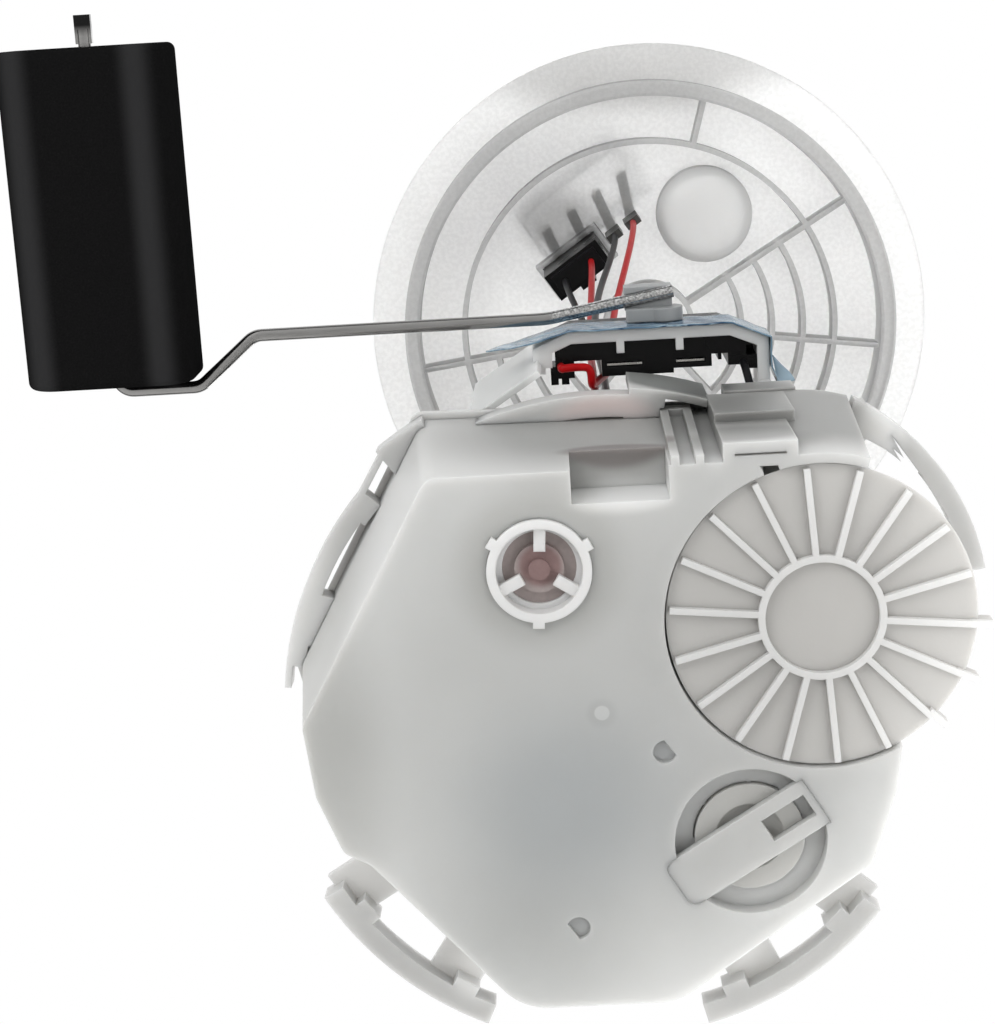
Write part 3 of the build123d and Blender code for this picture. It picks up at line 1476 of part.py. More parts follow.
if __name__ == "__main__":
    os.makedirs("parts", exist_ok=True)
    for name, shape in build().items():
        export_step(shape, os.path.join("parts", name + ".step"))
        print(name, "written")
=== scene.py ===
import math

import bmesh
import bpy
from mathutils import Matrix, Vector


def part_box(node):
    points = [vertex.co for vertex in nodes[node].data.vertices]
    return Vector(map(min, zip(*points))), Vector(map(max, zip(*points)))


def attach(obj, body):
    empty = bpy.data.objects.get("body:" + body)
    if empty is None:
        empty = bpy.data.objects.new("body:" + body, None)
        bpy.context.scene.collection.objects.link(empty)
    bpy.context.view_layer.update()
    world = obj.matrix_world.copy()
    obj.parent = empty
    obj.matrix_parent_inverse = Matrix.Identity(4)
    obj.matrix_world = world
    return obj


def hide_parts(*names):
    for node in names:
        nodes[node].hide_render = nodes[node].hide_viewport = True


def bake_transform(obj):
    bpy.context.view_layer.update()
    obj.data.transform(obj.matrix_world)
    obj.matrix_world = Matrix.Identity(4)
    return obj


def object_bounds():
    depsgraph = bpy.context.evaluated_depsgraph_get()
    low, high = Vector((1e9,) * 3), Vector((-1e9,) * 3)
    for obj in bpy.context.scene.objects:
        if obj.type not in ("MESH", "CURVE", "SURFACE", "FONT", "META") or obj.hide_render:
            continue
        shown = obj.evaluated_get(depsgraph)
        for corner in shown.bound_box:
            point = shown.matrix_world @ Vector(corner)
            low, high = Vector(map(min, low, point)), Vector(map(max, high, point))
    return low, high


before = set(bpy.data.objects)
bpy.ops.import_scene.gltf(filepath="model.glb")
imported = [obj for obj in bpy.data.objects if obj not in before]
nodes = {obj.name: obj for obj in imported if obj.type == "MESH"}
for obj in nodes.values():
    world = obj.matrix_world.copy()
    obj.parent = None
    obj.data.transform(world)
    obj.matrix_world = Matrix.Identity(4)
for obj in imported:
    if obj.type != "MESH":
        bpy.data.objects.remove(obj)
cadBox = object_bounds()
mm = 0.001

# lengths in the dictionaries are millimetres, angles are degrees, colours are linear
camera = {"place": (-24.85, -88.5, -612.3), "turn": (167.125, -1.06, 3.414), "lens": 52.5, "sensor": 24.0,
          "near": 0.01, "far": 50}     # near and far are metres
studio = {"floorDrop": 6.0, "floorSize": 6000.0, "floorColour": (0.93, 0.93, 0.92), "floorRough": 0.8,
          "floorNoise": (3, 2), "floorDip": 0.98, "fill": 0.86,
          "sides": 0.06, "sidesEnd": 0.12, "skyStart": 0.75,     # what metal sees round the horizon
          "middle": (-0.03, 0.03, -0.12)}
lamps = {     # places and sizes in metres, power in watts
    "keyLamp": {"place": (-0.9, -1.0, -1.1), "aim": studio["middle"], "size": 0.9, "power": 8.5},
    "underLamp": {"place": (0.9, 0.2, -1.3), "aim": studio["middle"], "size": 1.2, "power": 6.5},
    "rimLamp": {"place": (0.8, 1.2, 1.0), "aim": studio["middle"], "size": 1.0, "power": 9.0},
    "topLamp": {"place": (0.1, 0.0, 0.9), "aim": (0, 0, 0), "size": 0.8, "power": 1.0}}
noises = {     # scale and detail of each plastic's noises
    "cloud": (45, 5), "fine": (1400, 3), "specks": (900, 2)}
bevelSamples = 6


def startMaterial(name, rough, metallic=0.0):
    mat = bpy.data.materials.new(name)
    mat.use_nodes = True
    tree = mat.node_tree
    shader = tree.nodes["Principled BSDF"]
    shader.inputs["Roughness"].default_value = rough
    shader.inputs["Metallic"].default_value = metallic
    return mat, tree, shader


def addNoise(tree, scale, detail=4.0, stretch=(1, 1, 1)):
    place = tree.nodes.new("ShaderNodeTexCoord")
    turn = tree.nodes.new("ShaderNodeMapping")
    noise = tree.nodes.new("ShaderNodeTexNoise")
    turn.inputs["Scale"].default_value = stretch
    noise.inputs["Scale"].default_value = scale
    noise.inputs["Detail"].default_value = detail
    tree.links.new(place.outputs["Object"], turn.inputs["Vector"])
    tree.links.new(turn.outputs["Vector"], noise.inputs["Vector"])
    return noise.outputs["Fac"]


def addRamp(tree, source, stops):
    ramp = tree.nodes.new("ShaderNodeValToRGB")
    row = ramp.color_ramp.elements
    while len(row) < len(stops):
        row.new(0.5)
    for spot, (at, colour) in zip(row, stops):
        spot.position = at
        spot.color = (*colour, 1) if len(colour) == 3 else colour
    tree.links.new(source, ramp.inputs["Fac"])
    return ramp.outputs["Color"]


def addBump(tree, shader, source, depth, edge=0.0):
    bump = tree.nodes.new("ShaderNodeBump")
    bump.inputs["Distance"].default_value = depth * mm
    bump.inputs["Strength"].default_value = 1.0
    tree.links.new(source, bump.inputs["Height"])
    if edge:
        soften = tree.nodes.new("ShaderNodeBevel")
        soften.samples = bevelSamples
        soften.inputs["Radius"].default_value = edge * mm
        tree.links.new(soften.outputs["Normal"], bump.inputs["Normal"])
    tree.links.new(bump.outputs["Normal"], shader.inputs["Normal"])


def shadeColour(colour, factor):
    return tuple(c * factor for c in colour)


def addSpot(tree, centre, radii, soft=1.0):
    # 1 at the middle of a soft round patch, fading to 0 at its rim
    place = tree.nodes.new("ShaderNodeTexCoord")
    turn = tree.nodes.new("ShaderNodeMapping")
    ball = tree.nodes.new("ShaderNodeTexGradient")
    ball.gradient_type = "SPHERICAL"
    turn.vector_type = "TEXTURE"
    turn.inputs["Location"].default_value = [v * mm for v in centre]
    turn.inputs["Scale"].default_value = [v * mm for v in radii]
    tree.links.new(place.outputs["Object"], turn.inputs["Vector"])
    tree.links.new(turn.outputs["Vector"], ball.inputs["Vector"])
    fade = addRamp(tree, ball.outputs["Fac"], [(0.0, (0, 0, 0)), (soft, (1, 1, 1))])
    tree.nodes[-1].color_ramp.interpolation = "EASE"
    return fade


def addBand(tree, axis, low, high):
    # 0 below the first height (in mm) and 1 above the second, along one axis of the part
    place = tree.nodes.new("ShaderNodeTexCoord")
    split = tree.nodes.new("ShaderNodeSeparateXYZ")
    span = tree.nodes.new("ShaderNodeMapRange")
    span.inputs["From Min"].default_value = low * mm
    span.inputs["From Max"].default_value = high * mm
    tree.links.new(place.outputs["Object"], split.inputs["Vector"])
    tree.links.new(split.outputs[axis], span.inputs["Value"])
    return span.outputs["Result"]


def tint(tree, shader, mask, colour, how="MIX"):
    # lays a colour over what already feeds the shader's base colour, where the mask is 1
    mix = tree.nodes.new("ShaderNodeMix")
    mix.data_type = "RGBA"
    mix.blend_type = how
    base = shader.inputs["Base Color"].links[0].from_socket
    tree.links.new(mask, mix.inputs["Factor"])
    tree.links.new(base, mix.inputs["A"])
    mix.inputs["B"].default_value = (*colour, 1)
    tree.links.new(mix.outputs["Result"], shader.inputs["Base Color"])


def makePlastic(name, colour, rough=0.42, vary=0.06, grain=0.02, glow=0.0, depth=4.0, edge=0.35,
                clear=0.0, paintedLight=(), shadeBands=(), speckle=0.0, shine=0.5):
    mat, tree, shader = startMaterial(name, rough)
    shader.inputs["Specular IOR Level"].default_value = shine
    cloud = addNoise(tree, *noises["cloud"])
    base = addRamp(tree, cloud, [(0.3, shadeColour(colour, 1 - vary)), (0.7, colour)])
    tree.links.new(base, shader.inputs["Base Color"])
    # painted light: each patch or band multiplies the base colour, below 1 as painted shade, above 1 as
    # painted highlight
    for centre, radii, soft, shade in paintedLight:
        tint(tree, shader, addSpot(tree, centre, radii, soft), shade, "MULTIPLY")
    for axis, low, high, shade in shadeBands:
        tint(tree, shader, addBand(tree, axis, low, high), shade, "MULTIPLY")
    fine = addNoise(tree, *noises["fine"])
    if speckle:
        dots = addRamp(tree, addNoise(tree, *noises["specks"]), [(0.40, (1, 1, 1)), (0.62, (0, 0, 0))])
        tint(tree, shader, dots, (1 - speckle,) * 3, "MULTIPLY")
    addBump(tree, shader, fine, grain, edge)
    gloss = addRamp(tree, cloud, [(0.25, (rough * 0.85,) * 3), (0.75, (min(1, rough * 1.15),) * 3)])
    tree.links.new(gloss, shader.inputs["Roughness"])
    if glow:
        shader.inputs["Subsurface Weight"].default_value = glow
        shader.inputs["Subsurface Radius"].default_value = (1.0, 0.97, 0.94)
        shader.inputs["Subsurface Scale"].default_value = depth * mm
    if clear:
        shader.inputs["Transmission Weight"].default_value = clear
        shader.inputs["IOR"].default_value = 1.3
    return mat


def makeMetal(name, colour, rough=0.28, stretch=(1, 1, 1), scale=900, grain=0.01, vary=0.15):
    mat, tree, shader = startMaterial(name, rough, 1.0)
    streak = addNoise(tree, scale, 6, stretch)
    base = addRamp(tree, streak, [(0.25, shadeColour(colour, 1 - vary)), (0.75, colour)])
    tree.links.new(base, shader.inputs["Base Color"])
    gloss = addRamp(tree, streak, [(0.2, (rough * 0.7,) * 3), (0.8, (min(1, rough * 1.5),) * 3)])
    tree.links.new(gloss, shader.inputs["Roughness"])
    addBump(tree, shader, streak, grain)
    return mat


def makeRubber(name, colour, rough=0.6, scale=1500, grain=0.03, vary=0.3, shine=0.5):
    mat, tree, shader = startMaterial(name, rough)
    shader.inputs["Specular IOR Level"].default_value = shine
    pores = addNoise(tree, scale, 6)
    base = addRamp(tree, pores, [(0.3, shadeColour(colour, 1 - vary)), (0.7, colour)])
    tree.links.new(base, shader.inputs["Base Color"])
    addBump(tree, shader, pores, grain)
    return mat


# painted light and shade as soft patches, for the lists below: centre, radii, fade, tint. A tint below 1 is
# painted shade, standing for dark parts that would show through a thin wall and for shade on walls and in
# recesses; a tint above 1 is a painted highlight
tall = 1000.0
tubPaintedLight = [((-28, 53, -231), (30, 28, tall), 0.9, (0.82, 0.84, 0.86)),
              ((-30.2, 8.5, -231), (18, 18, tall), 0.45, (0.84, 0.84, 0.83)),
              ((-41.5, 84, -231), (34, 30, tall), 0.9, (0.82, 0.825, 0.825)),
              ((-15.5, -14, -218.6), (14, 9.5, 5), 0.25, (0.60, 0.555, 0.55)),
              ((-15.5, -2.5, -225), (15, 4, 9), 0.4, (1.3, 1.3, 1.3)),
              ((-20, -11, -203), (46, 14, 36), 0.7, (0.46, 0.46, 0.455)),
              ((20, -8, -203), (34, 18, 30), 0.5, (0.42, 0.42, 0.415)),
              ((5, -12.5, -223), (22, 5, 9), 0.5, (0.60, 0.60, 0.595)),
              ((-72, 40, -214), (18, 64, 40), 0.7, (0.76, 0.76, 0.75)),
              # gate mark: a paler middle and a darker ring, painted highlight and painted shade on the small
              # nub
              ((-20.7, 35.8, -231), (3.4, 3.4, tall), 0.5, (0.93, 0.93, 0.93)),
              ((-20.7, 35.8, -231), (1.5, 1.5, tall), 0.2, (1.25, 1.25, 1.25))]
# painted light on the cover and rim ring: darker patches are painted shade; paler ones are painted light
# where the white studio would show through gaps and frosted bridges, and the last one is also a little pinker
rimPaintedLight = [((-3, -14, -184), (14, 8, 14), 0.3, (0.40, 0.415, 0.41)),
              ((-47, 100, -201), (9, 9, 14), 0.6, (1.4, 1.4, 1.4)),
              ((4, 98, -201), (9, 9, 14), 0.6, (1.4, 1.4, 1.4)),
              ((12, -8, -198), (26, 16, 26), 0.5, (0.46, 0.46, 0.455)),
              ((34, -5, -198), (7, 8, 14), 0.6, (1.4, 1.4, 1.4)),
              ((-80, 26, -200), (16, 34, 30), 0.6, (1.25, 1.25, 1.25)),
              ((-50, 96, -196), (34, 34, 30), 0.6, (0.86, 0.86, 0.86)),
              ((-17, -11, -196), (12, 6, 9), 0.5, (1.15, 1.02, 1.01))]
# painted shade on the flange: a broad darker patch left of the middle, darker round the plug's header and
# towards the brim's edge at -Y, darker everywhere below the plate's underside, and darker towards -X
flangePaintedShade = [((-26, -30, 0), (50, 34, tall), 0.8, (0.91, 0.91, 0.915)),
                 ((-22, -29, -4), (17, 14, 9), 0.5, (0.55, 0.55, 0.55)),
                 ((0, -74, 1), (62, 20, 9), 0.5, (0.70, 0.70, 0.70))]
flangeShadeBands = [("Z", -0.9, -1.6, (0.46, 0.46, 0.46)), ("X", 20, -75, (0.90, 0.90, 0.90))]
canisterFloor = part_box("filter_canister")[0][2] / mm      # the ribs' lower edge
finishes = {
    "frostedFlange": makePlastic("frostedFlange", (0.97, 0.97, 0.965), 0.5, 0.05, 0.05, 1.0, 6.0,
                                 clear=0.55, speckle=0.09, paintedLight=flangePaintedShade, shadeBands=flangeShadeBands),
    "frostedDome": makePlastic("frostedDome", (0.88, 0.88, 0.875), 0.5, 0.06, 0.04, 1.0, 6.0, edge=1.6,
                               clear=0.45),
    "tubPlastic": makePlastic("tubPlastic", (0.685, 0.687, 0.678), 0.4, 0.04, 0.012, 1.0, 4.0,
                              paintedLight=tubPaintedLight),
    "coverPlastic": makePlastic("coverPlastic", (0.58, 0.58, 0.573), 0.4, 0.04, 0.012, 1.0, 4.0,
                                paintedLight=rimPaintedLight, clear=0.1),
    "rimPlastic": makePlastic("rimPlastic", (0.60, 0.60, 0.592), 0.38, 0.05, 0.02, 1.0, 5.0, clear=0.15,
                              paintedLight=rimPaintedLight),
    "strapPlastic": makePlastic("strapPlastic", (0.69, 0.69, 0.68), 0.38, 0.04, 0.012, 1.0, 4.0),
    "holderPlastic": makePlastic("holderPlastic", (0.68, 0.685, 0.68), 0.36, 0.03, 0.012, 1.0, 3.0,
                                 # painted shade: a darker patch over the holder's lower block, and the web
                                 # darker for x below -29 mm
                                 paintedLight=[((8, -8, -211), (26, 16, 20), 0.4, (0.50, 0.50, 0.495))],
                                 shadeBands=[("X", -29, -32, (0.70, 0.71, 0.71))]),
    "filterPlastic": makePlastic("filterPlastic", (0.60, 0.585, 0.555), 0.45, 0.05, 0.02, 0.8, 2.5),
    "ribbedFilter": makePlastic("ribbedFilter", (0.615, 0.605, 0.588), 0.45, 0.05, 0.02, 0.8, 2.0, edge=0.15),
    "regulatorPlastic": makePlastic("regulatorPlastic", (0.60, 0.595, 0.575), 0.4, 0.06, 0.02, 0.8, 2.5),
    "valveWhite": makePlastic("valveWhite", (0.95, 0.95, 0.94), 0.34, 0.03, 0.01, 0.9, 2.0),
    "hubPlastic": makePlastic("hubPlastic", (0.24, 0.25, 0.255), 0.4, 0.08, 0.02, 0.6, 2.0),
    "blackPlastic": makePlastic("blackPlastic", (0.004, 0.004, 0.0042), 0.28, 0.3, 0.02, shine=0.14),
    "hoseNylon": makePlastic("hoseNylon", (0.010, 0.010, 0.011), 0.34, 0.3, 0.02, edge=0, shine=0.25),
    "ceramic": makePlastic("ceramic", (0.62, 0.62, 0.59), 0.5, 0.04, 0.01),
    "filterPaper": makeRubber("filterPaper", (0.7, 0.62, 0.42), 0.85, 2500, 0.05, 0.15),
    "floatFoam": makeRubber("floatFoam", (0.0085, 0.0085, 0.0087), 0.6, 2600, 0.04, 0.3, 0.0),
    "valveRubber": makeRubber("valveRubber", (0.50, 0.43, 0.42), 0.5, 900, 0.03, 0.12),
    "sealRubber": makeRubber("sealRubber", (0.03, 0.03, 0.03), 0.5),
    "redWire": makeRubber("redWire", (0.42, 0.004, 0.006), 0.32, 700, 0.008, 0.2, 0.12),
    "blackWire": makeRubber("blackWire", (0.005, 0.005, 0.006), 0.36, 700, 0.008, 0.2, 0.15),
    "wireSteel": makeMetal("wireSteel", (0.34, 0.335, 0.33), 0.13, (0.1, 1, 1), 1400, 0.006),
    "rodSteel": makeMetal("rodSteel", (0.5, 0.495, 0.48), 0.22, (1, 1, 0.05), 1800, 0.006),
    "springSteel": makeMetal("springSteel", (0.5, 0.5, 0.5), 0.25),
    "canSteel": makeMetal("canSteel", (0.45, 0.45, 0.46), 0.3, (1, 1, 0.04), 900, 0.01),
    "clampSteel": makeMetal("clampSteel", (0.55, 0.55, 0.55), 0.3),
    "tinnedBrass": makeMetal("tinnedBrass", (0.88, 0.85, 0.78), 0.6),
    "nickelSilver": makeMetal("nickelSilver", (0.62, 0.61, 0.58), 0.24),
    "darkTin": makeMetal("darkTin", (0.10, 0.10, 0.095), 0.35),
    "ferrite": makeMetal("ferrite", (0.16, 0.16, 0.17), 0.55),
    "mesh": makeRubber("mesh", (0.6, 0.6, 0.55), 0.7, 3000, 0.1, 0.4),
}


# painted highlight on the canister's ribs and hub
ribs = {"low": 1.2, "high": 1.4, "colour": (0.76, 0.76, 0.755)}     # heights above their lower edge


def paintRibHighlight(mat):
    # painted highlight: the thin ribs and the hub stand below the panel, so a band at their lower edge is
    # painted paler as if they catch the light
    tree = mat.node_tree
    band = addBand(tree, "Z", canisterFloor + ribs["high"], canisterFloor + ribs["low"])
    tint(tree, tree.nodes["Principled BSDF"], band, ribs["colour"])


umbrellaShade = {"stem": (-30.2, 8.5, -231), "reach": 4.6, "soft": 0.35, "shade": (0.66, 0.50, 0.50)}


def shadeValveMiddle(mat):
    # painted shade: the umbrella's middle round its stem is painted darker and redder
    tree = mat.node_tree
    stem = addSpot(tree, umbrellaShade["stem"], (umbrellaShade["reach"], umbrellaShade["reach"], tall), umbrellaShade["soft"])
    tint(tree, tree.nodes["Principled BSDF"], stem, umbrellaShade["shade"], "MULTIPLY")


creaseShading = {     # painted shade and painted highlights on the film: dark folds gather near the pivot, pale highlight lines run all along the film
    "near": (-8.0, -24.0, -172.0),
    "patch": {"noise": (70, 4, (1.0, 1.0, 2.0)), "from": 0.42, "to": 0.62, "share": 0.8,
              "reach": (30, 60, 60), "soft": 0.6, "colour": (0.05, 0.11, 0.18)},
    "fold": {"noise": (120, 3, (0.7, 0.7, 2.4)), "line": (0.44, 0.49, 0.51, 0.56), "reach": (26, 60, 60),
             "soft": 0.5, "colour": (0.018, 0.055, 0.11)},
    "gleam": {"noise": (150, 3, (0.6, 0.6, 2.8)), "line": (0.44, 0.48, 0.49, 0.51), "share": 0.5,
              "colour": (0.50, 0.62, 0.70)}}


def bothMasks(tree, first, second):
    both = tree.nodes.new("ShaderNodeMath")
    both.operation = "MULTIPLY"
    tree.links.new(first, both.inputs[0])
    tree.links.new(second, both.inputs[1])
    return both.outputs[0]


def veinStops(line, share=1.0):
    # 0 outside the four places, and the share between the middle two
    return [(at, (level,) * 3) for at, level in zip(line, (0, share, share, 0))]


def paintCreaseShading(mat):
    tree = mat.node_tree
    shader = tree.nodes["Principled BSDF"]
    part = creaseShading["patch"]
    patch = addRamp(tree, addNoise(tree, *part["noise"]), [(part["from"], (0, 0, 0)),
                                                           (part["to"], (part["share"],) * 3)])
    near = addSpot(tree, creaseShading["near"], part["reach"], part["soft"])
    tint(tree, shader, bothMasks(tree, patch, near), part["colour"])
    part = creaseShading["fold"]
    fold = addRamp(tree, addNoise(tree, *part["noise"]), veinStops(part["line"]))
    near = addSpot(tree, creaseShading["near"], part["reach"], part["soft"])
    tint(tree, shader, bothMasks(tree, fold, near), part["colour"])
    part = creaseShading["gleam"]
    gleam = addRamp(tree, addNoise(tree, *part["noise"]), veinStops(part["line"], part["share"]))
    tint(tree, shader, gleam, part["colour"])


# painted highlight stripes on the float
foamHighlight = {"edges": (-126.0, -102.4), "middle": (-52, -180), "reach": 4.2, "soft": 0.9,
            "colour": (0.026, 0.026, 0.027)}


def paintEdgeHighlights(mat):
    # painted highlight: paler stripes along the foam's rounded edges stand in for the sheen of its skin
    tree = mat.node_tree
    for edge in foamHighlight["edges"]:
        sheenStripe = addSpot(tree, (edge, *foamHighlight["middle"]), (foamHighlight["reach"], tall, tall), foamHighlight["soft"])
        tint(tree, tree.nodes["Principled BSDF"], sheenStripe, foamHighlight["colour"])


wireEnds = {"tip": -87.0, "tipFade": 2, "tipColour": (0.02, 0.02, 0.02),
            "leg": -26.0, "legFade": 0.5, "grain": (2200, 4), "dark": 0.22, "pale": 0.72}


def darkenTip(mat):
    # the flattened tip beyond the float is left black
    tree = mat.node_tree
    band = addBand(tree, "Y", wireEnds["tip"], wireEnds["tip"] - wireEnds["tipFade"])
    tint(tree, tree.nodes["Principled BSDF"], band, wireEnds["tipColour"])


def roughenEnd(mat):
    # the short leg that enters the pivot has a coarse zinc skin
    tree = mat.node_tree
    shader = tree.nodes["Principled BSDF"]
    grain = addRamp(tree, addNoise(tree, *wireEnds["grain"]), [(0.36, (wireEnds["dark"],) * 3),
                                                               (0.66, (wireEnds["pale"],) * 3)])
    mix = tree.nodes.new("ShaderNodeMix")
    mix.data_type = "RGBA"
    base = shader.inputs["Base Color"].links[0].from_socket
    leg = addBand(tree, "X", wireEnds["leg"] - wireEnds["legFade"], wireEnds["leg"] + wireEnds["legFade"])
    tree.links.new(leg, mix.inputs["Factor"])
    tree.links.new(base, mix.inputs["A"])
    tree.links.new(grain, mix.inputs["B"])
    tree.links.new(mix.outputs["Result"], shader.inputs["Base Color"])


# the folded corner gets a paler copy of the film's colour as painted sheen
finishes["filmGlossPaintedSheen"] = makePlastic("filmGlossPaintedSheen", (0.50, 0.66, 0.78), 0.1, 0.5, 0.02, edge=0, clear=0.2)
finishes["blueFilm"] = makePlastic("blueFilm", (0.24, 0.36, 0.46), 0.14, 0.3, 0.01, edge=0, clear=0.12)
paintCreaseShading(finishes["blueFilm"])
paintRibHighlight(finishes["ribbedFilter"])
paintEdgeHighlights(finishes["floatFoam"])
darkenTip(finishes["wireSteel"])
shadeValveMiddle(finishes["valveRubber"])
roughenEnd(finishes["wireSteel"])
print("materials ready")

nodeFinish = {
    "flange_cap": "frostedFlange", "rollover_valve": "frostedDome", "reservoir_cup": "tubPlastic",
    "reservoir_cover": "coverPlastic", "rim_ring": "rimPlastic", "regulator_strap": "strapPlastic",
    "inlet_valve_cage": "valveWhite", "inlet_valve_disc": "valveRubber",
    "pressure_regulator": "regulatorPlastic", "regulator_seal": "sealRubber",
    "filter_canister": "ribbedFilter", "filter_lid": "filterPlastic", "filter_element": "filterPaper",
    "pump_body": "canSteel", "pump_head": "blackPlastic", "pump_inlet_cap": "blackPlastic",
    "pump_rotor": "rodSteel", "pump_magnets": "ferrite", "pump_isolator": "sealRubber",
    "pump_strainer": "mesh", "jet_pump": "blackPlastic", "feed_hose": "hoseNylon",
    "jet_hose": "hoseNylon", "outlet_hose": "hoseNylon", "sender_holder": "holderPlastic",
    "sender_housing": "blackPlastic", "sender_card": "ceramic", "sender_contacts": "nickelSilver",
    "sender_wiper": "nickelSilver", "sender_film": "blueFilm", "arm_wire": "wireSteel",
    "arm_hub": "hubPlastic", "float_block": "floatFoam", "guide_rod_left": "rodSteel",
    "guide_rod_right": "rodSteel", "rod_clips": "clampSteel", "spring_left": "springSteel",
    "spring_right": "springSteel", "hose_clamp_top": "clampSteel", "hose_clamp_low": "clampSteel",
    "pump_plug": "blackPlastic", "sender_lugs": "darkTin", "pump_terminals": "tinnedBrass",
    "sender_terminals": "tinnedBrass", "pump_lead_red": "redWire", "sender_lead_red": "redWire",
    "pump_lead_black": "blackWire", "sender_lead_black": "blackWire", "ground_lead": "blackWire",
}

for name, finish in nodeFinish.items():
    piece = nodes[name]
    piece.data.materials.clear()
    piece.data.materials.append(finishes[finish])


reservoirPlace = Vector((-18.4, 50.0, -231.0))  # bottom of the reservoir's axis, from the flange's seat


def atReservoir(points):
    return [Vector(p) + reservoirPlace for p in points]


def addPiece(name, mesh, finish, body=None, stands=()):
    piece = bpy.data.objects.new(name, mesh)
    bpy.context.scene.collection.objects.link(piece)
    mesh.materials.clear()
    mesh.materials.append(finishes[finish])
    for face in mesh.polygons:
        face.use_smooth = True
    if stands:
        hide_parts(*stands)
    if body:
        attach(piece, body)
    return piece


curveSteps = {"tube": 10, "sweep": 24}


def drawRoute(name, points, kind, steps, radius=0.0, sides=4):
    # a line through the points as a mesh, with a round section where a radius is given
    curve = bpy.data.curves.new(name, "CURVE")
    curve.dimensions = "3D"
    line = curve.splines.new(kind)
    line.points.add(len(points) - 1)
    for spot, p in zip(line.points, points):
        spot.co = (*p, 1)
    if kind == "NURBS":
        line.order_u = 3
        line.use_endpoint_u = True
    line.resolution_u = curve.resolution_u = steps
    if radius:
        curve.bevel_depth = radius
        curve.bevel_resolution = sides
        curve.use_fill_caps = True
    helper = bpy.data.objects.new(name + "Line", curve)
    bpy.context.scene.collection.objects.link(helper)
    bpy.context.view_layer.update()
    mesh = bpy.data.meshes.new_from_object(helper.evaluated_get(bpy.context.evaluated_depsgraph_get()))
    bpy.data.objects.remove(helper)
    bpy.data.curves.remove(curve)
    return mesh


def tubeMesh(name, points, radius, kind="NURBS", sides=4):
    scaled = [[v * mm for v in p] for p in points]
    return drawRoute(name, scaled, kind, curveSteps["tube"], radius * mm, sides)


def closeMesh(mesh, bm):
    bmesh.ops.recalc_face_normals(bm, faces=bm.faces)
    bm.to_mesh(mesh)
    bm.free()


spring = {"coil": 4.9, "wire": 0.6, "turns": 13, "low": -136.0, "high": -14.0, "dead": 1.0, "steps": 28,
          "sides": 3, "left": (-50.4, 31.0), "right": (26.6, 54.5)}


def makeSpring(side):
    x, y = spring[side]
    count = int(spring["turns"] * spring["steps"])
    low, high = spring["low"] + spring["wire"], spring["high"] - spring["wire"]
    flat = 2 * spring["wire"] * spring["dead"]     # height of the closed turn at each end
    points = []
    for n in range(count + 1):
        turn = n / spring["steps"]
        if turn < spring["dead"]:
            height = low + flat * turn
        elif turn > spring["turns"] - spring["dead"]:
            height = high - flat * (spring["turns"] - turn)
        else:
            share = (turn - spring["dead"]) / (spring["turns"] - 2 * spring["dead"])
            height = low + flat + (high - low - 2 * flat) * share
        angle = 2 * math.pi * turn
        points.append((x + spring["coil"] * math.cos(angle), y + spring["coil"] * math.sin(angle), height))
    mesh = tubeMesh("spring_coil_" + side, points, spring["wire"], "POLY", spring["sides"])
    piece = addPiece("spring_coil_" + side, mesh, "springSteel", None, ["spring_" + side])
    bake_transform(piece)


makeSpring("left")
makeSpring("right")
print("springs ready")


lead = {"radius": 0.8, "leavesFlange": -30.0, "heldBelow": -104.0}
leads = {     # routes from the plug down to each lead's end, measured from the reservoir's foot
    "pump_lead_red": {"finish": "redWire", "slot": "red_wire", "points": [
        (3.18, -71.35, 202.95), (3.18, -71.35, 186.95), (0.4, -62, 120), (0.4, -62, 60), (0.4, -55.5, 42),
        (0.4, -55.5, 32), (-13.25, -19.8, 32), (-13.25, -19.8, 20.05)]},
    "pump_lead_black": {"finish": "blackWire", "slot": "black_wire", "points": [
        (-3.78, -66.65, 202.95), (-3.78, -66.65, 186.95), (2.8, -59.6, 120), (2.8, -59.6, 60),
        (2.8, -55.5, 42), (2.8, -55.5, 32), (-8.75, -19.8, 32), (-8.75, -19.8, 20.05)]},
    "sender_lead_black": {"finish": "blackWire", "slot": "black_wire", "points": [
        (10.01, -76.12, 216.45), (10.01, -76.12, 200.45), (1.5, -68.6, 128), (1.5, -68.6, 87.55)]},
    "sender_lead_red": {"finish": "redWire", "slot": "red_wire", "points": [
        (14.99, -79.48, 216.45), (14.99, -79.48, 200.45), (5, -64.05, 125), (5, -64.05, 76),
        (0.4, -64.05, 57), (-0.4, -64.3, 51.3), (-0.4, -67.6, 51), (-1.4, -68.4, 51), (-5.6, -68.3, 51),
        (-6.2, -68.05, 51.4), (-6.2, -68.05, 54.7)]},
    "ground_lead": {"finish": "blackWire", "slot": "black_wire", "points": [
        (29.6, -66.8, 54.95), (29.6, -66.8, 52.5), (30.6, -61.8, 50.05), (30.6, -61.8, 48.05)]},
}
for name, part in leads.items():
    mesh = tubeMesh(name + "_insulation", atReservoir(part["points"]), lead["radius"])
    onReservoir = name == "ground_lead"
    piece = addPiece(name + "_insulation", mesh, part["finish"], "reservoir" if onReservoir else None,
                     [name])
    if not onReservoir:
        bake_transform(piece)
print("leads ready")

wave = [(0.0, 0.0), (0.12, 0.25), (0.22, 0.8), (0.32, 1.0), (0.55, 1.0), (0.65, 0.8), (0.75, 0.25),
        (0.87, 0.0)]     # share of the pitch, share of the rise
cuffStep = 0.4     # how far the cuff's end slopes


def rings(part):
    # (distance, radius) down a convoluted tube with a plain cuff at each end
    length, pitch, plain = part["length"], part["pitch"], part["plain"]
    count = int((length - 2 * part["cuff"]) / pitch)
    start = (length - count * pitch) / 2
    out = [(0.0, plain), (start * 0.5, plain), (start - cuffStep, plain)]
    for n in range(count):
        for share, lift in wave:
            radius = part["valley"] + (part["crest"] - part["valley"]) * lift
            out.append((start + (n + share) * pitch, radius))
    return out + [(length - start, part["valley"]), (length - start + cuffStep, plain), (length, plain)]


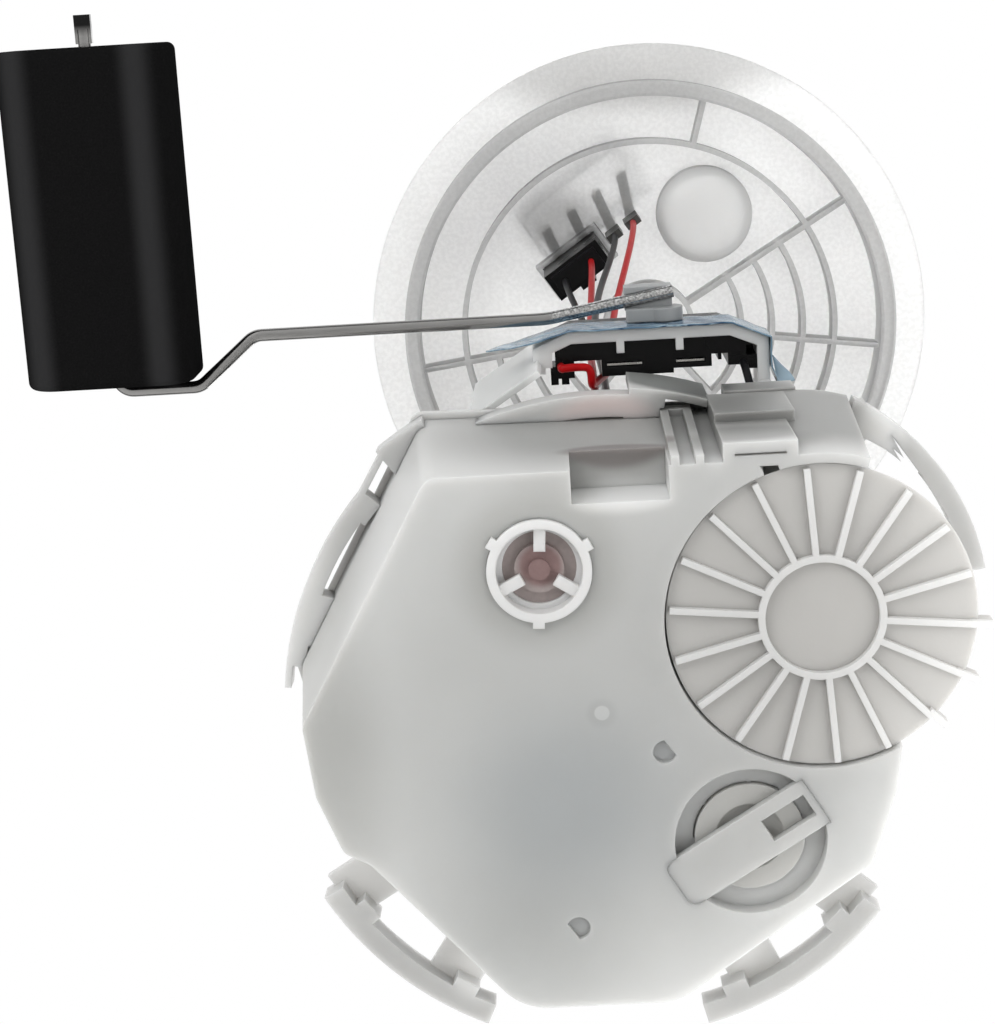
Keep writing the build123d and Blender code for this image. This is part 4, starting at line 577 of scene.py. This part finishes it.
def sweptMesh(name, points, outline, sides):
    # rings of the outline's radii set square to a smooth line through the route
    track = drawRoute(name, points, "NURBS", curveSteps["sweep"])
    path = [v.co.copy() for v in track.vertices]
    bpy.data.meshes.remove(track)
    far = [0.0]
    for a, b in zip(path, path[1:]):
        far.append(far[-1] + (b - a).length)
    scale = far[-1] / outline[-1][0]
    mesh = bpy.data.meshes.new(name)
    bm = bmesh.new()
    side = Vector((1, 0, 0)) if abs((path[1] - path[0]).normalized().x) < 0.9 else Vector((0, 1, 0))
    rows = []
    at = 0
    for distance, radius in outline:
        d = min(distance * scale, far[-1])
        while at < len(path) - 2 and far[at + 1] < d:
            at += 1
        share = (d - far[at]) / max(far[at + 1] - far[at], 1e-6)
        spot = path[at].lerp(path[at + 1], share)
        ahead = path[min(at + 2, len(path) - 1)] - path[max(at - 1, 0)]
        ahead.normalize()
        side = (side - ahead * side.dot(ahead)).normalized()
        up = ahead.cross(side)
        rows.append([bm.verts.new((spot + (side * math.cos(2 * math.pi * n / sides)
                                           + up * math.sin(2 * math.pi * n / sides)) * radius) * mm)
                     for n in range(sides)])
    for low, high in zip(rows, rows[1:]):
        for n in range(sides):
            bm.faces.new((low[n], low[(n + 1) % sides], high[(n + 1) % sides], high[n]))
    bm.faces.new(rows[0])
    bm.faces.new(rows[-1])
    closeMesh(mesh, bm)
    return mesh


outletHose = {"route": [(32, -16.6, 222.7), (32, -16.6, 190), (32, -16.6, 100), (32, -16.6, 66.65)],
              "length": 156.05, "valley": 5.45, "crest": 7.0, "plain": 5.8, "cuff": 11.0, "pitch": 3.4,
              "sides": 36, "leavesFlange": -20, "heldBelow": -152}
feedHose = {"route": [(-4, 4, 105.05), (-4, 4, 110), (-4, 4, 132.85), (10, -12.8, 132.85),
                      (22, -27.2, 132.85), (36, -44, 132.85), (36, -44, 108), (36, -44, 90), (36, -44, 66.6)],
            "length": 148.0, "valley": 4.3, "crest": 5.3, "plain": 4.9, "cuff": 14.0, "pitch": 3.0,
            "sides": 32}
jetHose = {"route": [(-38.5, -2, 26.05), (-38.5, -2, 60), (-38.5, -2, 92), (-38.5, -2, 117.8),
                     (-21, 4, 117.8), (-21, 4, 111), (-21, 4, 105.05)], "radius": 2.8, "sides": 5}


def hoseMesh(name, part):
    return sweptMesh(name, atReservoir(part["route"]), rings(part), part["sides"])


piece = addPiece("outlet_tube", hoseMesh("outlet_tube", outletHose), "hoseNylon", None,
                 ["outlet_hose"])
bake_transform(piece)
addPiece("feed_tube", hoseMesh("feed_tube", feedHose), "hoseNylon", "reservoir",
         ["feed_hose"])
mesh = tubeMesh("jet_tube", atReservoir(jetHose["route"]), jetHose["radius"], sides=jetHose["sides"])
addPiece("jet_tube", mesh, "hoseNylon", "reservoir", ["jet_hose"])
print("hoses ready")


film = {"low": 52.0, "high": 63.5, "thick": 0.24, "rows": 10, "step": 0.8, "leastSteps": 4,
        "point": 9.0, "pointRise": 0.9,     # the left end is cut to a point over this length
        "ruffle": 0.1, "ruffleAlong": (0.9, 0.23), "ruffleUp": (2.1, 4),
        "curl": 1.2, "curlLength": 7.0, "curlPower": 1.6, "curlFade": 1.5, "curlBack": 0.5, "curlLift": 0.4,
        "path": [(-21, -70.6), (-4.5, -75.2), (27.5, -75.2), (34.95, -71.95), (34.95, -66), (37.7, -58.9)]}
filmCorner = {"tip": [(35.6, -67.5, 58.0), (36.0, -62.4, 53.0), (39.6, -62.6, 55.4)],
              "bulge": (0.5, -0.6, 0.0), "rows": 8, "columns": 6}


def addFilmPiece(name, mesh, finish, stands=()):
    piece = addPiece(name, mesh, finish, "reservoir", stands)
    skin = piece.modifiers.new("skin", "SOLIDIFY")
    skin.thickness = film["thick"] * mm
    skin.offset = 0


def makeFilm():
    corners = [Vector(p) for p in film["path"]]
    walk = []
    for a, b in zip(corners, corners[1:]):
        steps = max(film["leastSteps"], int((b - a).length / film["step"]))
        walk += [a.lerp(b, n / steps) for n in range(steps)]
    walk.append(corners[-1])
    far = [0.0]
    for a, b in zip(walk, walk[1:]):
        far.append(far[-1] + (b - a).length)
    mesh = bpy.data.meshes.new("film_sheet")
    bm = bmesh.new()
    grid = []
    rise = film["high"] - film["low"]
    longRuffle, slowRuffle = film["ruffleAlong"]
    upRuffle, slowUpRuffle = film["ruffleUp"]
    for n, spot in enumerate(walk):
        ahead = (walk[min(n + 1, len(walk) - 1)] - walk[max(n - 1, 0)]).normalized()
        out = Vector((ahead.y, -ahead.x))
        leftCut = max(0.0, 1 - far[n] / film["point"])
        bend = max(0.0, (far[n] - far[-1] + film["curlLength"]) / film["curlLength"]) ** film["curlPower"]
        row = []
        for m in range(film["rows"] + 1):
            share = m / film["rows"]
            height = film["low"] + rise * (share + (1 - share) * leftCut * film["pointRise"])
            sway = (film["ruffle"] * math.sin(far[n] * longRuffle + upRuffle * share)
                    * math.sin(far[n] * slowRuffle + slowUpRuffle * share))
            turn = film["curl"] * bend * (1 - share) ** film["curlFade"]
            shape = spot + out * (sway + turn) - ahead * turn * film["curlBack"]
            row.append(bm.verts.new(Vector((*shape, height + turn * film["curlLift"])) * mm
                                    + reservoirPlace * mm))
        grid.append(row)
    for a, b in zip(grid, grid[1:]):
        for m in range(film["rows"]):
            bm.faces.new((a[m], b[m], b[m + 1], a[m + 1]))
    closeMesh(mesh, bm)
    addFilmPiece("film_sheet", mesh, "blueFilm", ["sender_film"])


def makeFilmCorner():
    # the film's lower corner, folded back on itself beside the holder
    mesh = bpy.data.meshes.new("film_corner")
    tip = [Vector(p) for p in filmCorner["tip"]]
    columns = filmCorner["columns"]
    bm = bmesh.new()
    rows = []
    for n in range(filmCorner["rows"] + 1):
        share = n / filmCorner["rows"]
        left, right = tip[0].lerp(tip[2], share), tip[1].lerp(tip[2], share)
        bulge = Vector(filmCorner["bulge"]) * math.sin(math.pi * share)
        rows.append([bm.verts.new((left.lerp(right, m / columns) + bulge * math.sin(math.pi * m / columns)
                                   + reservoirPlace) * mm) for m in range(columns + 1)])
    for a, b in zip(rows, rows[1:]):
        for m in range(columns):
            bm.faces.new((a[m], a[m + 1], b[m + 1], b[m]))
    bmesh.ops.remove_doubles(bm, verts=bm.verts, dist=1e-6)
    closeMesh(mesh, bm)
    addFilmPiece("film_corner", mesh, "filmGlossPaintedSheen")


makeFilm()
makeFilmCorner()
print("film ready")


def setCamera():
    lens = bpy.data.cameras.new("viewCamera")
    eye = bpy.data.objects.new("viewCamera", lens)
    bpy.context.scene.collection.objects.link(eye)
    lens.sensor_fit = "VERTICAL"
    lens.sensor_height = camera["sensor"]
    lens.lens = camera["lens"]
    lens.clip_start = camera["near"]
    lens.clip_end = camera["far"]
    eye.location = [v * mm for v in camera["place"]]
    eye.rotation_euler = [math.radians(v) for v in camera["turn"]]
    bpy.context.scene.camera = eye


def addLamp(name, part):
    lamp = bpy.data.lights.new(name, "AREA")
    lamp.size = part["size"]
    lamp.energy = part["power"]
    body = bpy.data.objects.new(name, lamp)
    bpy.context.scene.collection.objects.link(body)
    body.location = part["place"]
    body.rotation_euler = (Vector(part["aim"]) - Vector(part["place"])).to_track_quat("-Z", "Y").to_euler()


def setWorld():
    world = bpy.data.worlds.new("studioSky")
    bpy.context.scene.world = world
    world.use_nodes = True
    tree = world.node_tree
    tree.nodes.clear()
    out = tree.nodes.new("ShaderNodeOutputWorld")
    mix = tree.nodes.new("ShaderNodeMixShader")
    seen = tree.nodes.new("ShaderNodeBackground")
    light = tree.nodes.new("ShaderNodeBackground")
    ray = tree.nodes.new("ShaderNodeLightPath")
    # metal sees a darker band round the horizon, as in a booth with open sides
    way = tree.nodes.new("ShaderNodeTexCoord")
    split = tree.nodes.new("ShaderNodeSeparateXYZ")
    steep = tree.nodes.new("ShaderNodeMath")
    steep.operation = "ABSOLUTE"
    tree.links.new(way.outputs["Generated"], split.inputs["Vector"])
    tree.links.new(split.outputs["Z"], steep.inputs[0])
    booth = addRamp(tree, steep.outputs[0], [(studio["sidesEnd"], (studio["sides"],) * 3),
                                             (studio["skyStart"], (1, 1, 1))])
    plain = tree.nodes.new("ShaderNodeMix")
    plain.data_type = "RGBA"
    plain.inputs["A"].default_value = (1, 1, 1, 1)
    tree.links.new(ray.outputs["Is Glossy Ray"], plain.inputs["Factor"])
    tree.links.new(booth, plain.inputs["B"])
    tree.links.new(plain.outputs["Result"], seen.inputs["Color"])
    light.inputs["Color"].default_value = (1, 1, 1, 1)
    light.inputs["Strength"].default_value = studio["fill"]
    first = tree.nodes.new("ShaderNodeMath")
    second = tree.nodes.new("ShaderNodeMath")
    first.operation = second.operation = "MAXIMUM"
    tree.links.new(ray.outputs["Is Camera Ray"], first.inputs[0])
    tree.links.new(ray.outputs["Is Glossy Ray"], first.inputs[1])
    tree.links.new(first.outputs[0], second.inputs[0])
    tree.links.new(ray.outputs["Is Transmission Ray"], second.inputs[1])
    tree.links.new(second.outputs[0], mix.inputs["Fac"])
    tree.links.new(light.outputs[0], mix.inputs[1])
    tree.links.new(seen.outputs[0], mix.inputs[2])
    tree.links.new(mix.outputs[0], out.inputs["Surface"])


def setFloor():
    # one-sided: clear from below, so the underside view isn't blocked and lamps below still light the part
    mesh = bpy.data.meshes.new("floor")
    half = studio["floorSize"] / 2 * mm
    level = cadBox[0][2] - studio["floorDrop"] * mm
    mesh.from_pydata([(-half, -half, level), (half, -half, level), (half, half, level), (-half, half, level)],
                     [], [(0, 1, 2, 3)])
    floor = bpy.data.objects.new("floor", mesh)
    bpy.context.scene.collection.objects.link(floor)
    mat, tree, shader = startMaterial("floorPaper", studio["floorRough"])
    cloud = addNoise(tree, *studio["floorNoise"])
    base = addRamp(tree, cloud, [(0.3, shadeColour(studio["floorColour"], studio["floorDip"])),
                                 (0.7, studio["floorColour"])])
    tree.links.new(base, shader.inputs["Base Color"])
    side = tree.nodes.new("ShaderNodeNewGeometry")
    ray = tree.nodes.new("ShaderNodeLightPath")
    either = tree.nodes.new("ShaderNodeMath")
    either.operation = "MAXIMUM"
    clear = tree.nodes.new("ShaderNodeBsdfTransparent")
    mix = tree.nodes.new("ShaderNodeMixShader")
    out = tree.nodes["Material Output"]
    tree.links.new(side.outputs["Backfacing"], either.inputs[0])
    tree.links.new(ray.outputs["Is Shadow Ray"], either.inputs[1])
    tree.links.new(either.outputs[0], mix.inputs["Fac"])
    tree.links.new(shader.outputs[0], mix.inputs[1])
    tree.links.new(clear.outputs[0], mix.inputs[2])
    tree.links.new(mix.outputs[0], out.inputs["Surface"])
    mesh.materials.append(mat)


setCamera()
setWorld()
setFloor()
for name, part in lamps.items():
    addLamp(name, part)
bpy.context.scene.view_settings.view_transform = "Standard"
print("studio ready")
